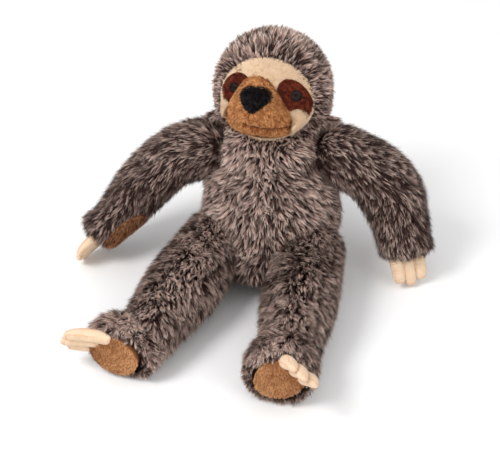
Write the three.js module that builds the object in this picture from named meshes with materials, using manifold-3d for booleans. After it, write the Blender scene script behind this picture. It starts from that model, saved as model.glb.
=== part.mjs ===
// A plush sloth, sitting upright with its legs forward and its hands beside it.
// Millimetres, +Z up, the toy faces -Y and its own left side is +X. The origin is the
// middle of the flat patch that the torso sits on.
import * as THREE from 'three';
import { mergeVertices } from 'three/addons/utils/BufferGeometryUtils.js';
import Module from 'manifold-3d';

const library = await Module();
library.setup();
const { Manifold, Mesh: SolidMesh } = library;
const degrees = Math.PI / 180;
const mergeDistance = 1e-5; // closer points than this are one

// Clearances shared by all pieces
const gap = 0.3; // between pieces sewn or laid against each other
const play = 1; // between a turning root and the socket it turns in
const wadPlay = 0.85; // round a wad of stuffing
const slotPlay = 0.8; // between the claws and the slot that they bend in
const roomPlay = 2; // round a limb where the torso is cut back from it
const overrun = 3; // how far a cutting body passes the face that it cuts
const floorCut = 0.5; // depth of the flat patch under a form that rests on the floor

// Driving dimensions
const torso = {
  halfWidth: 62,
  halfDepth: 57,
  bottomHeight: 52, // from the middle of the hips down to the lowest point
  length: 50, // from the middle of the hips up to the middle of the top dome
  topRadius: 46,
  chestHalfWidth: 59,
  chestHalfDepth: 51,
  wall: 5,
  neckOpening: 15,
  lean: -20 * degrees, // backwards
  tip: -3.5 * degrees, // towards its own right
};
const head = {
  halfWidth: 53,
  halfDepth: 49,
  halfHeight: 54,
  rise: 60, // of the head's middle above the middle of the torso's top dome
  wall: 9,
  opening: 13,
  tilt: 4 * degrees, // back upright from the torso's tip
};
const face = {
  halfWidth: 40.5,
  halfHeight: 37,
  drop: 6, // of the panel's middle below the head's middle
  inset: 4.5, // of its cloth below the tips of the surrounding fur
  thickness: 2.5,
};
const muzzle = {
  halfWidth: 32,
  narrowHalfWidth: 15,
  top: 15,
  bottom: 39,
  peak: -4, // height of its fullest point against the head's middle
  crown: 20,
  edge: 1.5,
};
const eyePatch = { halfLong: 19.5, halfShort: 10.5, out: 26.5, drop: 1.5, slant: 54 * degrees, thickness: 1 };
const eye = { radius: 5, out: 26.8, rise: 2.5, thickness: 1.6 };
const nose = { halfWidth: 14, rise: 1, above: 9.5, below: 12.5, crown: 3, edge: 1.5 };
const mouth = { halfWidth: 21, drop: 21, smile: 5, threadRadius: 0.9 };
const arm = {
  rootRadius: 27.5,
  middleRadius: 29,
  endHalfWidth: 26,
  endHalfDepth: 19,
  endCap: 13,
  reach: { left: 99, right: 120 }, // straight from the shoulder to the hand as it lies
  bend: { left: 50, right: 50 }, // how far the arm keeps its direction at either end
  wall: 5,
  opening: 13,
  out: 59, // of the shoulder from the middle plane
  height: 54, // of the shoulder above the middle of the hips
};
const palm = { halfLong: 21, halfShort: 12, thickness: 2, back: 20 };
const leg = {
  rootRadius: 31,
  middleRadius: 32.5,
  endRadius: 26,
  length: 125, // from the hip to the ankle
  wall: 5,
  opening: 14,
};
const hip = { out: 42, forward: 38, height: 35 };
const foot = { halfWidth: 27.5, halfHeight: 31, halfDepth: 26, reach: 21, wall: 4, opening: 12 };
const sole = { forward: 15, halfWidth: 20, halfHeight: 23.5, thickness: 2 };
const handClaws = {
  pitch: 10.6,
  halfWidth: 6.4,
  tipHalfWidth: 5.6,
  halfDepth: 5,
  length: 27,
  sunk: 11,
  palmward: 6, // of their roots from the arm's line
};
const toeClaws = {
  pitch: 12,
  halfWidth: 7,
  tipHalfWidth: 6.2,
  halfDepth: 5.5,
  length: 34,
  sunk: 10,
  rise: 12, // of their roots above the foot's middle
};
const clawCurl = 30 * degrees;
const wadRadius = { neck: 22, shoulder: 19, hip: 22 };

// How each limb lies, as turns outwards from straight forward and upwards from level
const posture = {
  left: {
    side: 1,
    leaveOut: 93 * degrees,
    leaveUp: -20 * degrees,
    handOut: 71 * degrees,
    handUp: -46 * degrees,
    handRoll: 0,
    clawsOut: 33 * degrees,
    clawsUp: -36 * degrees,
    legOut: 3.5 * degrees,
    footFrom: 4 * degrees,
    footOut: 4 * degrees,
    footUp: -6 * degrees,
    footRoll: 38 * degrees,
    toesOut: -12 * degrees,
    toesUp: 58 * degrees,
    toesTwist: 0,
  },
  right: {
    side: -1,
    leaveOut: 98 * degrees,
    leaveUp: -5 * degrees,
    handOut: 64 * degrees,
    handUp: -36 * degrees,
    handRoll: 45 * degrees,
    clawsOut: 60 * degrees,
    clawsUp: -20 * degrees,
    legOut: 13.5 * degrees,
    footFrom: 38 * degrees,
    footOut: 12 * degrees,
    footUp: 0,
    footRoll: 82 * degrees,
    toesOut: 0,
    toesUp: 86 * degrees,
    toesTwist: -25 * degrees,
  },
};

// The turns of each leg that bring it nearest to the torso, which leaves room for them
const legTurns = {
  raise: 22 * degrees,
  inwards: { left: 4 * degrees, right: 15 * degrees },
  outwards: 40 * degrees,
};

// How far the claws and feet bend, so that their slots and seats leave room for it
const clawFlex = 25 * degrees;
const footBack = 6; // of the foot's open back ahead of the ankle, which lets it flex

// Facets: sides round a form, rings along it and rings over a rounded end
const fine = { sides: 16, rings: 6, capRings: 3 };
const torsoFacets = { sides: 18, rings: 4, capRings: 4 };
const roomFacets = { sides: 12, rings: 2, capRings: 1 };
const coarse = { sides: 10, rings: 4, capRings: 2 };
const lobeFacets = { sides: 8, rings: 3, capRings: 2 };
const roundFine = { around: 22, down: 12 };
const roundMedium = { around: 18, down: 10 };
const roundCoarse = { around: 10, down: 6 };
const roundWad = { around: 16, down: 9 };
const muzzleFacets = { around: 18, across: 4 };
const padFacets = { around: 18, across: 3 };
const smallFacets = { around: 12, across: 2 };
const barSides = 10;
const threadSteps = 6;
const threadSides = 5;
const outlineSteps = 30;

// Shares of the sizes that they follow
const noseTaperShare = 0.35;
const sideClawShare = 0.88; // of the middle claw's length
const toeRootShare = 0.75; // of the way from the foot's middle to its sole

const furMaterials = {
  light: new THREE.MeshStandardMaterial({ color: 0x6b5a55, roughness: 0.95, metalness: 0 }),
  dark: new THREE.MeshStandardMaterial({ color: 0x544541, roughness: 0.95, metalness: 0 }),
};
const clothMaterials = {
  stuffing: new THREE.MeshStandardMaterial({ color: 0xf1efe8, roughness: 1, metalness: 0 }),
  cream: new THREE.MeshStandardMaterial({ color: 0xebd2ae, roughness: 0.9, metalness: 0 }),
  tan: new THREE.MeshStandardMaterial({ color: 0xb57a45, roughness: 0.9, metalness: 0 }),
  patch: new THREE.MeshStandardMaterial({ color: 0x4a2018, roughness: 0.9, metalness: 0 }),
  charcoal: new THREE.MeshStandardMaterial({ color: 0x25262b, roughness: 0.6, metalness: 0 }),
  black: new THREE.MeshStandardMaterial({ color: 0x141312, roughness: 0.85, metalness: 0 }),
  claw: new THREE.MeshStandardMaterial({ color: 0xf3d7b2, roughness: 0.85, metalness: 0 }),
  sole: new THREE.MeshStandardMaterial({ color: 0xa9713d, roughness: 0.9, metalness: 0 }),
};

// Turns a closed geometry into a solid that can be cut and joined.
function toSolid(geometry) {
  const bare = geometry.clone();
  bare.deleteAttribute('normal');
  bare.deleteAttribute('uv');
  const merged = mergeVertices(bare, mergeDistance);
  const mesh = new SolidMesh({
    numProp: 3,
    vertProperties: new Float32Array(merged.attributes.position.array),
    triVerts: new Uint32Array(merged.index.array),
  });
  return new Manifold(mesh);
}

function toGeometry(solid) {
  const mesh = solid.getMesh();
  const geometry = new THREE.BufferGeometry();
  geometry.setAttribute('position', new THREE.Float32BufferAttribute(mesh.vertProperties, 3));
  geometry.setIndex([...mesh.triVerts]);
  geometry.computeVertexNormals();
  return geometry;
}

// Joins rings of points, each with the same number, into a closed skin with a point at each end.
function ringsGeometry(rings, first, last) {
  const sides = rings[0].length;
  const points = [...rings.flat(), first, last];
  const faces = [];
  const at = (ring, side) => ring * sides + (side % sides);
  for (let side = 0; side < sides; side++) {
    faces.push(points.length - 2, at(0, side + 1), at(0, side));
    for (let ring = 0; ring + 1 < rings.length; ring++) {
      faces.push(at(ring, side), at(ring, side + 1), at(ring + 1, side));
      faces.push(at(ring, side + 1), at(ring + 1, side + 1), at(ring + 1, side));
    }
    faces.push(points.length - 1, at(rings.length - 1, side), at(rings.length - 1, side + 1));
  }
  const geometry = new THREE.BufferGeometry();
  geometry.setAttribute('position', new THREE.Float32BufferAttribute(points.flatMap((p) => p.toArray()), 3));
  geometry.setIndex(faces);
  return geometry;
}

// Places along a stuffed form: a rounded start, the body between, and a rounded end. Each has
// its share of the way along the curve, its step beyond the curve's end and its share of width.
function stations(facets) {
  const list = [];
  for (let i = 1; i <= facets.capRings; i++) {
    const turn = (i / facets.capRings) * 90 * degrees;
    list.push({ share: 0, beyond: -Math.cos(turn), width: Math.sin(turn) });
  }
  for (let i = 1; i < facets.rings; i++) {
    list.push({ share: i / facets.rings, beyond: 0, width: 1 });
  }
  for (let i = facets.capRings; i >= 1; i--) {
    const turn = (i / facets.capRings) * 90 * degrees;
    list.push({ share: 1, beyond: Math.cos(turn), width: Math.sin(turn) });
  }
  return list;
}

// A stuffed form: oval rings carried along a curve, swelling and tapering as widthAt and depthAt
// say, closed by a rounded cap at each end that is capStart or capEnd long.
function stuffedForm({ curve, side, widthAt, depthAt, capStart, capEnd, facets }) {
  const place = (share, beyond) => {
    const tangent = curve.getTangentAt(share);
    const cap = beyond < 0 ? capStart : capEnd;
    return { tangent, centre: curve.getPointAt(share).addScaledVector(tangent, beyond * cap) };
  };
  const rings = stations(facets).map(({ share, beyond, width }) => {
    const { tangent, centre } = place(share, beyond);
    const across = side.clone().addScaledVector(tangent, -side.dot(tangent)).normalize();
    const through = tangent.clone().cross(across);
    return Array.from({ length: facets.sides }, (_, i) => {
      const turn = (i / facets.sides) * 360 * degrees;
      return centre
        .clone()
        .addScaledVector(across, Math.cos(turn) * widthAt(share) * width)
        .addScaledVector(through, Math.sin(turn) * depthAt(share) * width);
    });
  });
  return toSolid(ringsGeometry(rings, place(0, -1).centre, place(1, 1).centre));
}

// A pad laid on a surface: its outline is filled with rings drawn in to the middle, its back
// follows the surface and its front stands off by an edge and a crown. liftAt gives the
// surface's height over a point, and crownAt the share of the crown at a share of the way out.
function laidPad({ outlineAt, middle, liftAt, back, edge, crown, facets }) {
  const point = (share, turn, lift) => {
    const [x, z] = outlineAt(turn);
    const at = [middle[0] + (x - middle[0]) * share, middle[1] + (z - middle[1]) * share];
    return new THREE.Vector3(at[0], -(liftAt(...at) + lift), at[1]);
  };
  const ringAt = (share, lift) =>
    Array.from({ length: facets.around }, (_, i) => point(share, (i / facets.around) * 360 * degrees, lift));
  const rings = [];
  for (let i = 1; i <= facets.across; i++) {
    rings.push(ringAt(i / facets.across, back));
  }
  for (let i = facets.across; i >= 1; i--) {
    const share = i / facets.across;
    rings.push(ringAt(share, back + edge + crown * crownShare(share)));
  }
  const first = point(0, 0, back);
  const last = point(0, 0, back + edge + crown);
  return toSolid(ringsGeometry(rings, first, last));
}

// A pad's fullness at a share of the way out from its middle: full in the middle, round at the edge.
function crownShare(share) {
  return Math.sqrt(1 - share * share);
}

function ball(radius, centre, facets = roundFine) {
  const geometry = new THREE.SphereGeometry(radius, facets.around, facets.down);
  geometry.translate(...centre.toArray());
  return toSolid(geometry);
}

function ovalBall(halfWidth, halfDepth, halfHeight, facets) {
  const geometry = new THREE.SphereGeometry(1, facets.around, facets.down);
  geometry.rotateX(90 * degrees);
  geometry.scale(halfWidth, halfDepth, halfHeight);
  return toSolid(geometry);
}

// A round bar from one point to another.
function bar(radius, from, to) {
  const length = from.distanceTo(to);
  const geometry = new THREE.CylinderGeometry(radius, radius, length, barSides);
  const turn = new THREE.Quaternion().setFromUnitVectors(
    new THREE.Vector3(0, 1, 0),
    to.clone().sub(from).normalize(),
  );
  geometry.applyQuaternion(turn);
  const middle = from.clone().add(to).divideScalar(2);
  geometry.translate(...middle.toArray());
  return toSolid(geometry);
}

// An oval bar from a point along a direction, with one half-width along side.
function ovalBar(halfWidth, halfHeight, length, from, along, side, facets = roundMedium) {
  const third = side.clone().cross(along);
  const geometry = new THREE.CylinderGeometry(1, 1, 1, facets.around);
  geometry.translate(0, 1 / 2, 0);
  geometry.scale(halfWidth, length, halfHeight);
  geometry.applyMatrix4(new THREE.Matrix4().makeBasis(side, along, third).setPosition(from));
  return toSolid(geometry);
}

function blend(a, b, share) {
  const eased = share * share * (3 - 2 * share);
  return a + (b - a) * eased;
}

function applied(solid, matrix) {
  return solid.transform([...matrix.elements]);
}

// A direction from turns: outwards from straight forward, and upwards.
function direction(side, out, up) {
  return new THREE.Vector3(side * Math.sin(out) * Math.cos(up), -Math.cos(out) * Math.cos(up), Math.sin(up));
}

// The half of space below the floor, as a wide block, in a group's own frame.
function belowFloor(group) {
  const reach = torso.length + head.rise + head.halfHeight + leg.length;
  const block = new THREE.BoxGeometry(2 * reach, 2 * reach, reach);
  block.translate(0, 0, -reach / 2);
  group.updateWorldMatrix(true, false);
  return applied(toSolid(block), group.matrixWorld.clone().invert());
}

const up = new THREE.Vector3(0, 0, 1);
const across = new THREE.Vector3(1, 0, 0);
const forward = new THREE.Vector3(0, -1, 0);
const origin = new THREE.Vector3();
const neckPivot = new THREE.Vector3(0, 0, torso.length);
const headMiddle = new THREE.Vector3(0, 0, torso.length + head.rise);
const shoulderAt = (side) => new THREE.Vector3(side * arm.out, 0, arm.height);
const shoulderInToy = (side) => torsoGroup.localToWorld(shoulderAt(side));
const hipAt = (side) => new THREE.Vector3(side * hip.out, -hip.forward, hip.height);

const toy = new THREE.Group();
const torsoGroup = new THREE.Group();
torsoGroup.rotation.set(torso.lean, torso.tip, 0);
torsoGroup.position.copy(seatedAt(torsoGroup));
toy.add(torsoGroup);
const headGroup = new THREE.Group();
headGroup.position.copy(headMiddle);
headGroup.rotation.y = head.tilt;
torsoGroup.add(headGroup);
toy.updateMatrixWorld(true);
const neckInHead = headGroup.worldToLocal(torsoGroup.localToWorld(neckPivot.clone()));

// Where the leaning torso stands so that the floor cuts its round bottom flat at the origin.
function seatedAt(group) {
  group.updateMatrix();
  const leaning = applied(torsoForm(0, torsoFacets), group.matrix);
  const lowest = leaning.boundingBox().min[2];
  const patch = leaning.trimByPlane([0, 0, -1], -lowest - floorCut).boundingBox();
  const middle = (i) => (patch.min[i] + patch.max[i]) / 2;
  return new THREE.Vector3(-middle(0), -middle(1), -lowest - floorCut);
}

function addPiece(group, name, solid, material) {
  const mesh = new THREE.Mesh(toGeometry(solid), material);
  mesh.name = name;
  group.add(mesh);
}

// The torso's form, drawn in all round by inset: widest at the hips, full at the chest, and
// round on top, where the head sits over it.
function torsoForm(inset, facets) {
  return stuffedForm({
    curve: new THREE.LineCurve3(origin, neckPivot),
    side: across,
    widthAt: (share) => swell(torso.halfWidth, torso.chestHalfWidth, torso.topRadius, share) - inset,
    depthAt: (share) => swell(torso.halfDepth, torso.chestHalfDepth, torso.topRadius, share) - inset,
    capStart: torso.bottomHeight - inset,
    capEnd: torso.topRadius - inset,
    facets,
  });
}

// The sockets that the arms' and legs' roots turn in, in the torso's frame, grown by extra.
function torsoSockets(extra, facets) {
  const sides = [posture.left.side, posture.right.side];
  const arms = sides.map((side) => ball(arm.rootRadius + play + extra, shoulderAt(side), facets));
  const legs = sides.map((side) =>
    ball(leg.rootRadius + play + extra, torsoGroup.worldToLocal(hipAt(side)), facets),
  );
  return Manifold.union([...arms, ...legs]);
}

// A limb's form in the torso's frame, turned about its root by each axis and angle in turn.
function limbInTorso(form, root, turns = []) {
  const matrix = torsoGroup.matrixWorld.clone().invert();
  matrix.multiply(new THREE.Matrix4().makeTranslation(...root.toArray()));
  for (const [axis, angle] of turns) {
    matrix.multiply(new THREE.Matrix4().makeRotationAxis(axis, angle));
  }
  return applied(form, matrix);
}

// The room that the torso leaves for an arm as it lies.
function armRoom(name, pose) {
  const form = armForm(armCurve(name, pose), handRow(pose), -roomPlay, roomFacets);
  return limbInTorso(form, shoulderInToy(pose.side));
}

// The room that the torso leaves for a leg where it comes nearest.
function legRoom(name, pose) {
  const form = legForm(new THREE.LineCurve3(origin, ankleFrom(pose)), -roomPlay, roomFacets);
  const raised = [across, -legTurns.raise];
  const inwards = [up, -pose.side * legTurns.inwards[name]];
  const outwards = [up, pose.side * legTurns.outwards];
  const turns = [[raised], [inwards], [outwards, raised]];
  return Manifold.union(turns.map((turn) => limbInTorso(form, hipAt(pose.side), turn)));
}

// The openings through which the head's and limbs' stuffing meets the torso's.
function torsoOpenings() {
  const openings = [bar(torso.neckOpening, neckPivot, headMiddle)];
  for (const { side } of Object.values(posture)) {
    const hipCentre = torsoGroup.worldToLocal(hipAt(side));
    openings.push(bar(arm.opening, shoulderAt(side), neckPivot));
    openings.push(bar(leg.opening, hipCentre, new THREE.Vector3(hipCentre.x, 0, 0)));
  }
  return Manifold.union(openings);
}

function makeTorso() {
  const rooms = Object.entries(posture).flatMap(([name, pose]) => [armRoom(name, pose), legRoom(name, pose)]);
  const outer = torsoForm(0, torsoFacets)
    .subtract(torsoSockets(0, roundMedium))
    .subtract(Manifold.union(rooms));
  const cavity = torsoForm(torso.wall, coarse).subtract(torsoSockets(torso.wall, roundCoarse));
  const skin = outer.subtract(cavity).subtract(torsoOpenings());
  const within = torso.wall + gap;
  const inner = torsoForm(within, coarse).subtract(torsoSockets(within, roundCoarse));
  const pocket = ball(wadRadius.neck + wadPlay, neckPivot, roundWad);
  const throat = bar(head.opening, neckPivot, headMiddle);
  addPiece(torsoGroup, 'torso_skin', skin.subtract(belowFloor(torsoGroup)), furMaterials.light);
  addPiece(torsoGroup, 'torso_filling', inner.subtract(pocket).subtract(throat), clothMaterials.stuffing);
  addPiece(torsoGroup, 'neck_filling', ball(wadRadius.neck, neckPivot, roundWad), clothMaterials.stuffing);
}

// The head's form in its own frame, middle at the origin, drawn in all round by inset.
function headForm(inset, facets = roundFine) {
  return ovalBall(head.halfWidth - inset, head.halfDepth - inset, head.halfHeight - inset, facets);
}

// How far forward the head's form stands over a point of the face.
function headLift(inset) {
  return (x, z) => {
    const sideways = x / (head.halfWidth - inset);
    const upwards = z / (head.halfHeight - inset);
    return (head.halfDepth - inset) * Math.sqrt(Math.max(0, 1 - sideways * sideways - upwards * upwards));
  };
}

// An oval bar from the head's middle out through the face, grown all round by extra.
function facePrism(extra) {
  const middle = new THREE.Vector3(0, 0, -face.drop);
  const length = head.halfDepth + overrun;
  return ovalBar(face.halfWidth + extra, face.halfHeight + extra, length, middle, forward, across);
}

// The hollow under the head that turns on the torso's dome, grown by extra.
function headSeat(extra, facets = roundFine) {
  return ball(torso.topRadius + play + extra, neckInHead, facets);
}

function makeHead() {
  const within = head.wall + gap;
  const cavity = headForm(head.wall, roundCoarse).subtract(headSeat(torso.wall, roundCoarse));
  const pocket = facePrism(gap).subtract(headForm(face.inset + face.thickness + gap));
  const skin = headForm(0)
    .subtract(headSeat(0))
    .subtract(cavity)
    .subtract(bar(head.opening, neckInHead, origin))
    .subtract(pocket);
  const filling = headForm(within, roundCoarse).subtract(headSeat(torso.wall + gap, roundCoarse));
  const panel = facePrism(0)
    .intersect(headForm(face.inset))
    .subtract(headForm(face.inset + face.thickness))
    .subtract(headSeat(0));
  addPiece(headGroup, 'head_skin', skin, furMaterials.light);
  addPiece(headGroup, 'head_filling', filling, clothMaterials.stuffing);
  addPiece(headGroup, 'face_panel', panel, clothMaterials.cream);
}

// The muzzle's pear-shaped outline: narrow between the eyes and wide below.
function muzzleOutline(turn) {
  const middle = (muzzle.top - muzzle.bottom) / 2;
  const reach = (muzzle.top + muzzle.bottom) / 2;
  const share = (1 + Math.sin(turn)) / 2;
  const width = blend(muzzle.halfWidth, muzzle.narrowHalfWidth, share);
  return [Math.cos(turn) * width, middle + Math.sin(turn) * reach];
}

// A point of an outline moved away from a middle by extra.
function grown([x, z], [middleX, middleZ], extra) {
  const way = new THREE.Vector2(x - middleX, z - middleZ);
  way.setLength(way.length() + extra);
  return [middleX + way.x, middleZ + way.y];
}

function muzzleForm(extra) {
  const middle = [0, muzzle.peak];
  return laidPad({
    outlineAt: (turn) => grown(muzzleOutline(turn), middle, extra),
    middle,
    liftAt: headLift(face.inset),
    back: -muzzle.edge,
    edge: 2 * muzzle.edge + gap + extra,
    crown: muzzle.crown,
    facets: muzzleFacets,
  });
}

// How far forward the muzzle's front stands over a point of the face, from the same pad.
function muzzleLift(x, z) {
  const lift = headLift(face.inset)(x, z) + gap + muzzle.edge;
  const way = new THREE.Vector2(x, z - muzzle.peak);
  const turn = outlineTurn(way.angle());
  const [edgeX, edgeZ] = muzzleOutline(turn);
  const share = way.length() / Math.hypot(edgeX, edgeZ - muzzle.peak);
  return lift + muzzle.crown * crownShare(Math.min(1, share));
}

// The turn at which the muzzle's outline lies in a given direction from its peak.
function outlineTurn(angle) {
  let low = angle - 90 * degrees;
  let high = angle + 90 * degrees;
  for (let step = 0; step < outlineSteps; step++) {
    const middle = (low + high) / 2;
    const [x, z] = muzzleOutline(middle);
    const ahead = Math.sin(Math.atan2(z - muzzle.peak, x) - angle);
    [low, high] = ahead < 0 ? [middle, high] : [low, middle];
  }
  return (low + high) / 2;
}

// A layer of cloth over the face: the part of a bar between two depths of the head's form.
function faceLayer(faceBar, under, over) {
  return faceBar.intersect(headForm(face.inset - over)).subtract(headForm(face.inset - under));
}

// The bar whose section is an eye patch: an oval with its outer end slanting down.
function patchBar(side) {
  const long = new THREE.Vector3(side * Math.cos(eyePatch.slant), 0, -Math.sin(eyePatch.slant));
  const middle = new THREE.Vector3(side * eyePatch.out, 0, -eyePatch.drop);
  return ovalBar(eyePatch.halfLong, eyePatch.halfShort, head.halfDepth, middle, forward, long, padFacets);
}

function eyeBar(side) {
  const middle = new THREE.Vector3(side * eye.out, 0, eye.rise);
  return ovalBar(eye.radius, eye.radius, head.halfDepth + overrun, middle, forward, across, smallFacets);
}

// The nose's outline: broad above and drawn to a blunt point below.
function noseOutline(turn) {
  const high = Math.sin(turn);
  const width = nose.halfWidth * (1 - noseTaperShare * Math.max(0, -high));
  return [Math.cos(turn) * width, nose.rise + high * (high > 0 ? nose.above : nose.below)];
}

function makeFace() {
  const muzzleClear = muzzleForm(gap);
  const patchUnder = gap;
  const patchOver = patchUnder + eyePatch.thickness;
  const eyeUnder = patchOver + gap;
  for (const [name, { side }] of Object.entries(posture)) {
    const patchForm = patchBar(side).intersect(facePrism(0));
    const patch = faceLayer(patchForm, patchUnder, patchOver).subtract(muzzleClear);
    const disc = faceLayer(eyeBar(side), eyeUnder, eyeUnder + eye.thickness);
    addPiece(headGroup, `eye_patch_${name}`, patch, clothMaterials.patch);
    addPiece(headGroup, `eye_${name}`, disc, clothMaterials.charcoal);
  }
  const nosePad = laidPad({
    outlineAt: noseOutline,
    middle: [0, nose.rise],
    liftAt: muzzleLift,
    back: -nose.edge,
    edge: 2 * nose.edge,
    crown: nose.crown,
    facets: padFacets,
  });
  const muzzlePad = muzzleForm(0).subtract(headForm(face.inset - gap)).subtract(headSeat(0));
  addPiece(headGroup, 'muzzle', muzzlePad, clothMaterials.tan);
  addPiece(headGroup, 'nose', nosePad.subtract(muzzleClear), clothMaterials.black);
  addPiece(headGroup, 'mouth_stitch', mouthThread().subtract(muzzleClear), clothMaterials.black);
}

// The mouth's thread: a shallow smile laid over the muzzle.
function mouthThread() {
  const points = Array.from({ length: threadSteps + 1 }, (_, i) => {
    const share = (2 * i) / threadSteps - 1;
    const x = share * mouth.halfWidth;
    const z = -mouth.drop + mouth.smile * share * share;
    return new THREE.Vector3(x, -(muzzleLift(x, z) + gap), z);
  });
  const curve = new THREE.CatmullRomCurve3(points);
  const circle = new THREE.Shape().absarc(0, 0, mouth.threadRadius, 0, 360 * degrees);
  const geometry = new THREE.ExtrudeGeometry(circle, {
    extrudePath: curve,
    steps: threadSteps,
    curveSegments: threadSides,
  });
  return toSolid(geometry);
}

// A set of claws in its own frame: lobes side by side along X, reaching along Z and curling
// towards -Y, with their rounded roots on the X axis, which they bend about.
function clawsForm(set) {
  const lobes = [-1, 0, 1].map((place) => {
    const start = new THREE.Vector3(place * set.pitch, 0, 0);
    const reach = set.length * (place === 0 ? 1 : sideClawShare);
    const curve = new THREE.QuadraticBezierCurve3(
      start,
      start.clone().addScaledVector(up, reach / 2),
      start
        .clone()
        .addScaledVector(up, (reach / 2) * (1 + Math.cos(clawCurl)))
        .addScaledVector(forward, (reach / 2) * Math.sin(clawCurl)),
    );
    return stuffedForm({
      curve,
      side: across,
      widthAt: (share) => blend(set.halfWidth, set.tipHalfWidth, share),
      depthAt: () => set.halfDepth,
      capStart: set.halfDepth,
      capEnd: set.tipHalfWidth,
      facets: lobeFacets,
    });
  });
  return Manifold.union(lobes);
}

// The slot that a set of claws bends in: as wide as the row, and opening outwards.
function clawSlot(set, extra) {
  const halfRow = set.pitch + set.halfWidth + slotPlay + extra;
  const halfDepth = set.halfDepth + slotPlay + extra;
  const length = 2 * set.sunk + halfDepth;
  const halfMouth = halfDepth + length * Math.tan(clawFlex);
  const geometry = new THREE.BoxGeometry(2 * halfRow, 2 * halfDepth, length);
  const points = geometry.attributes.position;
  for (let i = 0; i < points.count; i++) {
    const flare = points.getZ(i) > 0 ? halfMouth / halfDepth : 1;
    points.setY(i, points.getY(i) * flare);
  }
  geometry.translate(0, 0, length / 2 - halfDepth);
  return toSolid(geometry);
}

// A group whose Z axis reaches along a direction and whose X axis lies along a row.
function framed(position, reach, row) {
  const group = new THREE.Group();
  const through = reach.clone().cross(row).normalize();
  const level = through.clone().cross(reach).normalize();
  group.position.copy(position);
  group.quaternion.setFromRotationMatrix(new THREE.Matrix4().makeBasis(level, through, reach));
  group.updateMatrix();
  return group;
}

// The arm's line in its own frame, from the shoulder at the origin to the hand.
function armCurve(name, pose) {
  const leave = direction(pose.side, pose.leaveOut, pose.leaveUp);
  const arrive = direction(pose.side, pose.clawsOut, pose.clawsUp);
  const hand = direction(pose.side, pose.handOut, pose.handUp).multiplyScalar(arm.reach[name]);
  return new THREE.CubicBezierCurve3(
    origin,
    leave.multiplyScalar(arm.bend[name]),
    hand.clone().addScaledVector(arrive, -arm.bend[name]),
    hand,
  );
}

// The way along a hand's row of claws: level, then rolled about the way they point.
function handRow(pose) {
  const reach = direction(pose.side, pose.clawsOut, pose.clawsUp);
  return up.clone().cross(reach).normalize().applyAxisAngle(reach, pose.handRoll);
}

function armForm(curve, row, inset, facets) {
  return stuffedForm({
    curve,
    side: row,
    widthAt: (share) => swell(arm.rootRadius, arm.middleRadius, arm.endHalfWidth, share) - inset,
    depthAt: (share) => swell(arm.rootRadius, arm.middleRadius, arm.endHalfDepth, share) - inset,
    capStart: arm.rootRadius - inset,
    capEnd: arm.endCap - inset,
    facets,
  });
}

// A size that goes smoothly from its start through its middle to its end.
function swell(start, middle, end, share) {
  return 2 * share < 1 ? blend(start, middle, 2 * share) : blend(middle, end, 2 * share - 1);
}

function makeArm(name, pose) {
  const group = new THREE.Group();
  group.position.copy(shoulderInToy(pose.side));
  toy.add(group);
  const reach = direction(pose.side, pose.clawsOut, pose.clawsUp);
  const row = handRow(pose);
  const curve = armCurve(name, pose);
  const hand = curve.getPointAt(1);
  const palmWay = row.clone().cross(reach);
  const clawRoot = hand.clone().addScaledVector(reach, arm.endCap - handClaws.sunk);
  const clawGroup = framed(clawRoot.addScaledVector(palmWay, handClaws.palmward), reach, row);
  group.add(clawGroup);
  const palmMiddle = hand.clone().addScaledVector(reach, -palm.back);
  const palmReach = arm.rootRadius + overrun;
  const palmBar = (extra) =>
    ovalBar(palm.halfShort + extra, palm.halfLong + extra, palmReach, palmMiddle, palmWay, row);
  const pocket = palmBar(gap).subtract(armForm(curve, row, palm.thickness + gap, fine));
  const inward = torsoGroup.localToWorld(neckPivot.clone()).sub(group.position);
  const slot = applied(clawSlot(handClaws, 0), clawGroup.matrix);
  const innerSlot = applied(clawSlot(handClaws, arm.wall), clawGroup.matrix);
  const skin = armForm(curve, row, 0, fine)
    .subtract(armForm(curve, row, arm.wall, coarse).subtract(innerSlot))
    .subtract(bar(arm.opening, origin, inward))
    .subtract(slot)
    .subtract(pocket);
  const wad = ball(wadRadius.shoulder, origin, roundWad);
  const wadPocket = ball(wadRadius.shoulder + wadPlay, origin, roundWad);
  const filling = armForm(curve, row, arm.wall + gap, coarse)
    .subtract(applied(clawSlot(handClaws, arm.wall + gap), clawGroup.matrix))
    .subtract(wadPocket)
    .subtract(bar(arm.opening, origin, inward));
  const palmPad = palmBar(0)
    .intersect(armForm(curve, row, 0, fine))
    .subtract(armForm(curve, row, palm.thickness, fine));
  addPiece(group, `shoulder_filling_${name}`, wad, clothMaterials.stuffing);
  addPiece(group, `arm_skin_${name}`, skin, furMaterials.dark);
  addPiece(group, `arm_filling_${name}`, filling, clothMaterials.stuffing);
  addPiece(group, `palm_pad_${name}`, palmPad, clothMaterials.sole);
  addPiece(clawGroup, `hand_claws_${name}`, clawsForm(handClaws), clothMaterials.claw);
}

function legForm(curve, inset, facets) {
  return stuffedForm({
    curve,
    side: across,
    widthAt: (share) => swell(leg.rootRadius, leg.middleRadius, leg.endRadius, share) - inset,
    depthAt: (share) => swell(leg.rootRadius, leg.middleRadius, leg.endRadius, share) - inset,
    capStart: leg.rootRadius - inset,
    capEnd: leg.endRadius - inset,
    facets,
  });
}

// The ankle, from the hip at the origin, low enough for the leg's end to rest on the floor.
function ankleFrom(pose) {
  const fall = hip.height - (leg.endRadius - floorCut);
  const level = direction(pose.side, pose.legOut, 0);
  return level.multiplyScalar(Math.sqrt(leg.length ** 2 - fall ** 2)).addScaledVector(up, -fall);
}

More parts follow.
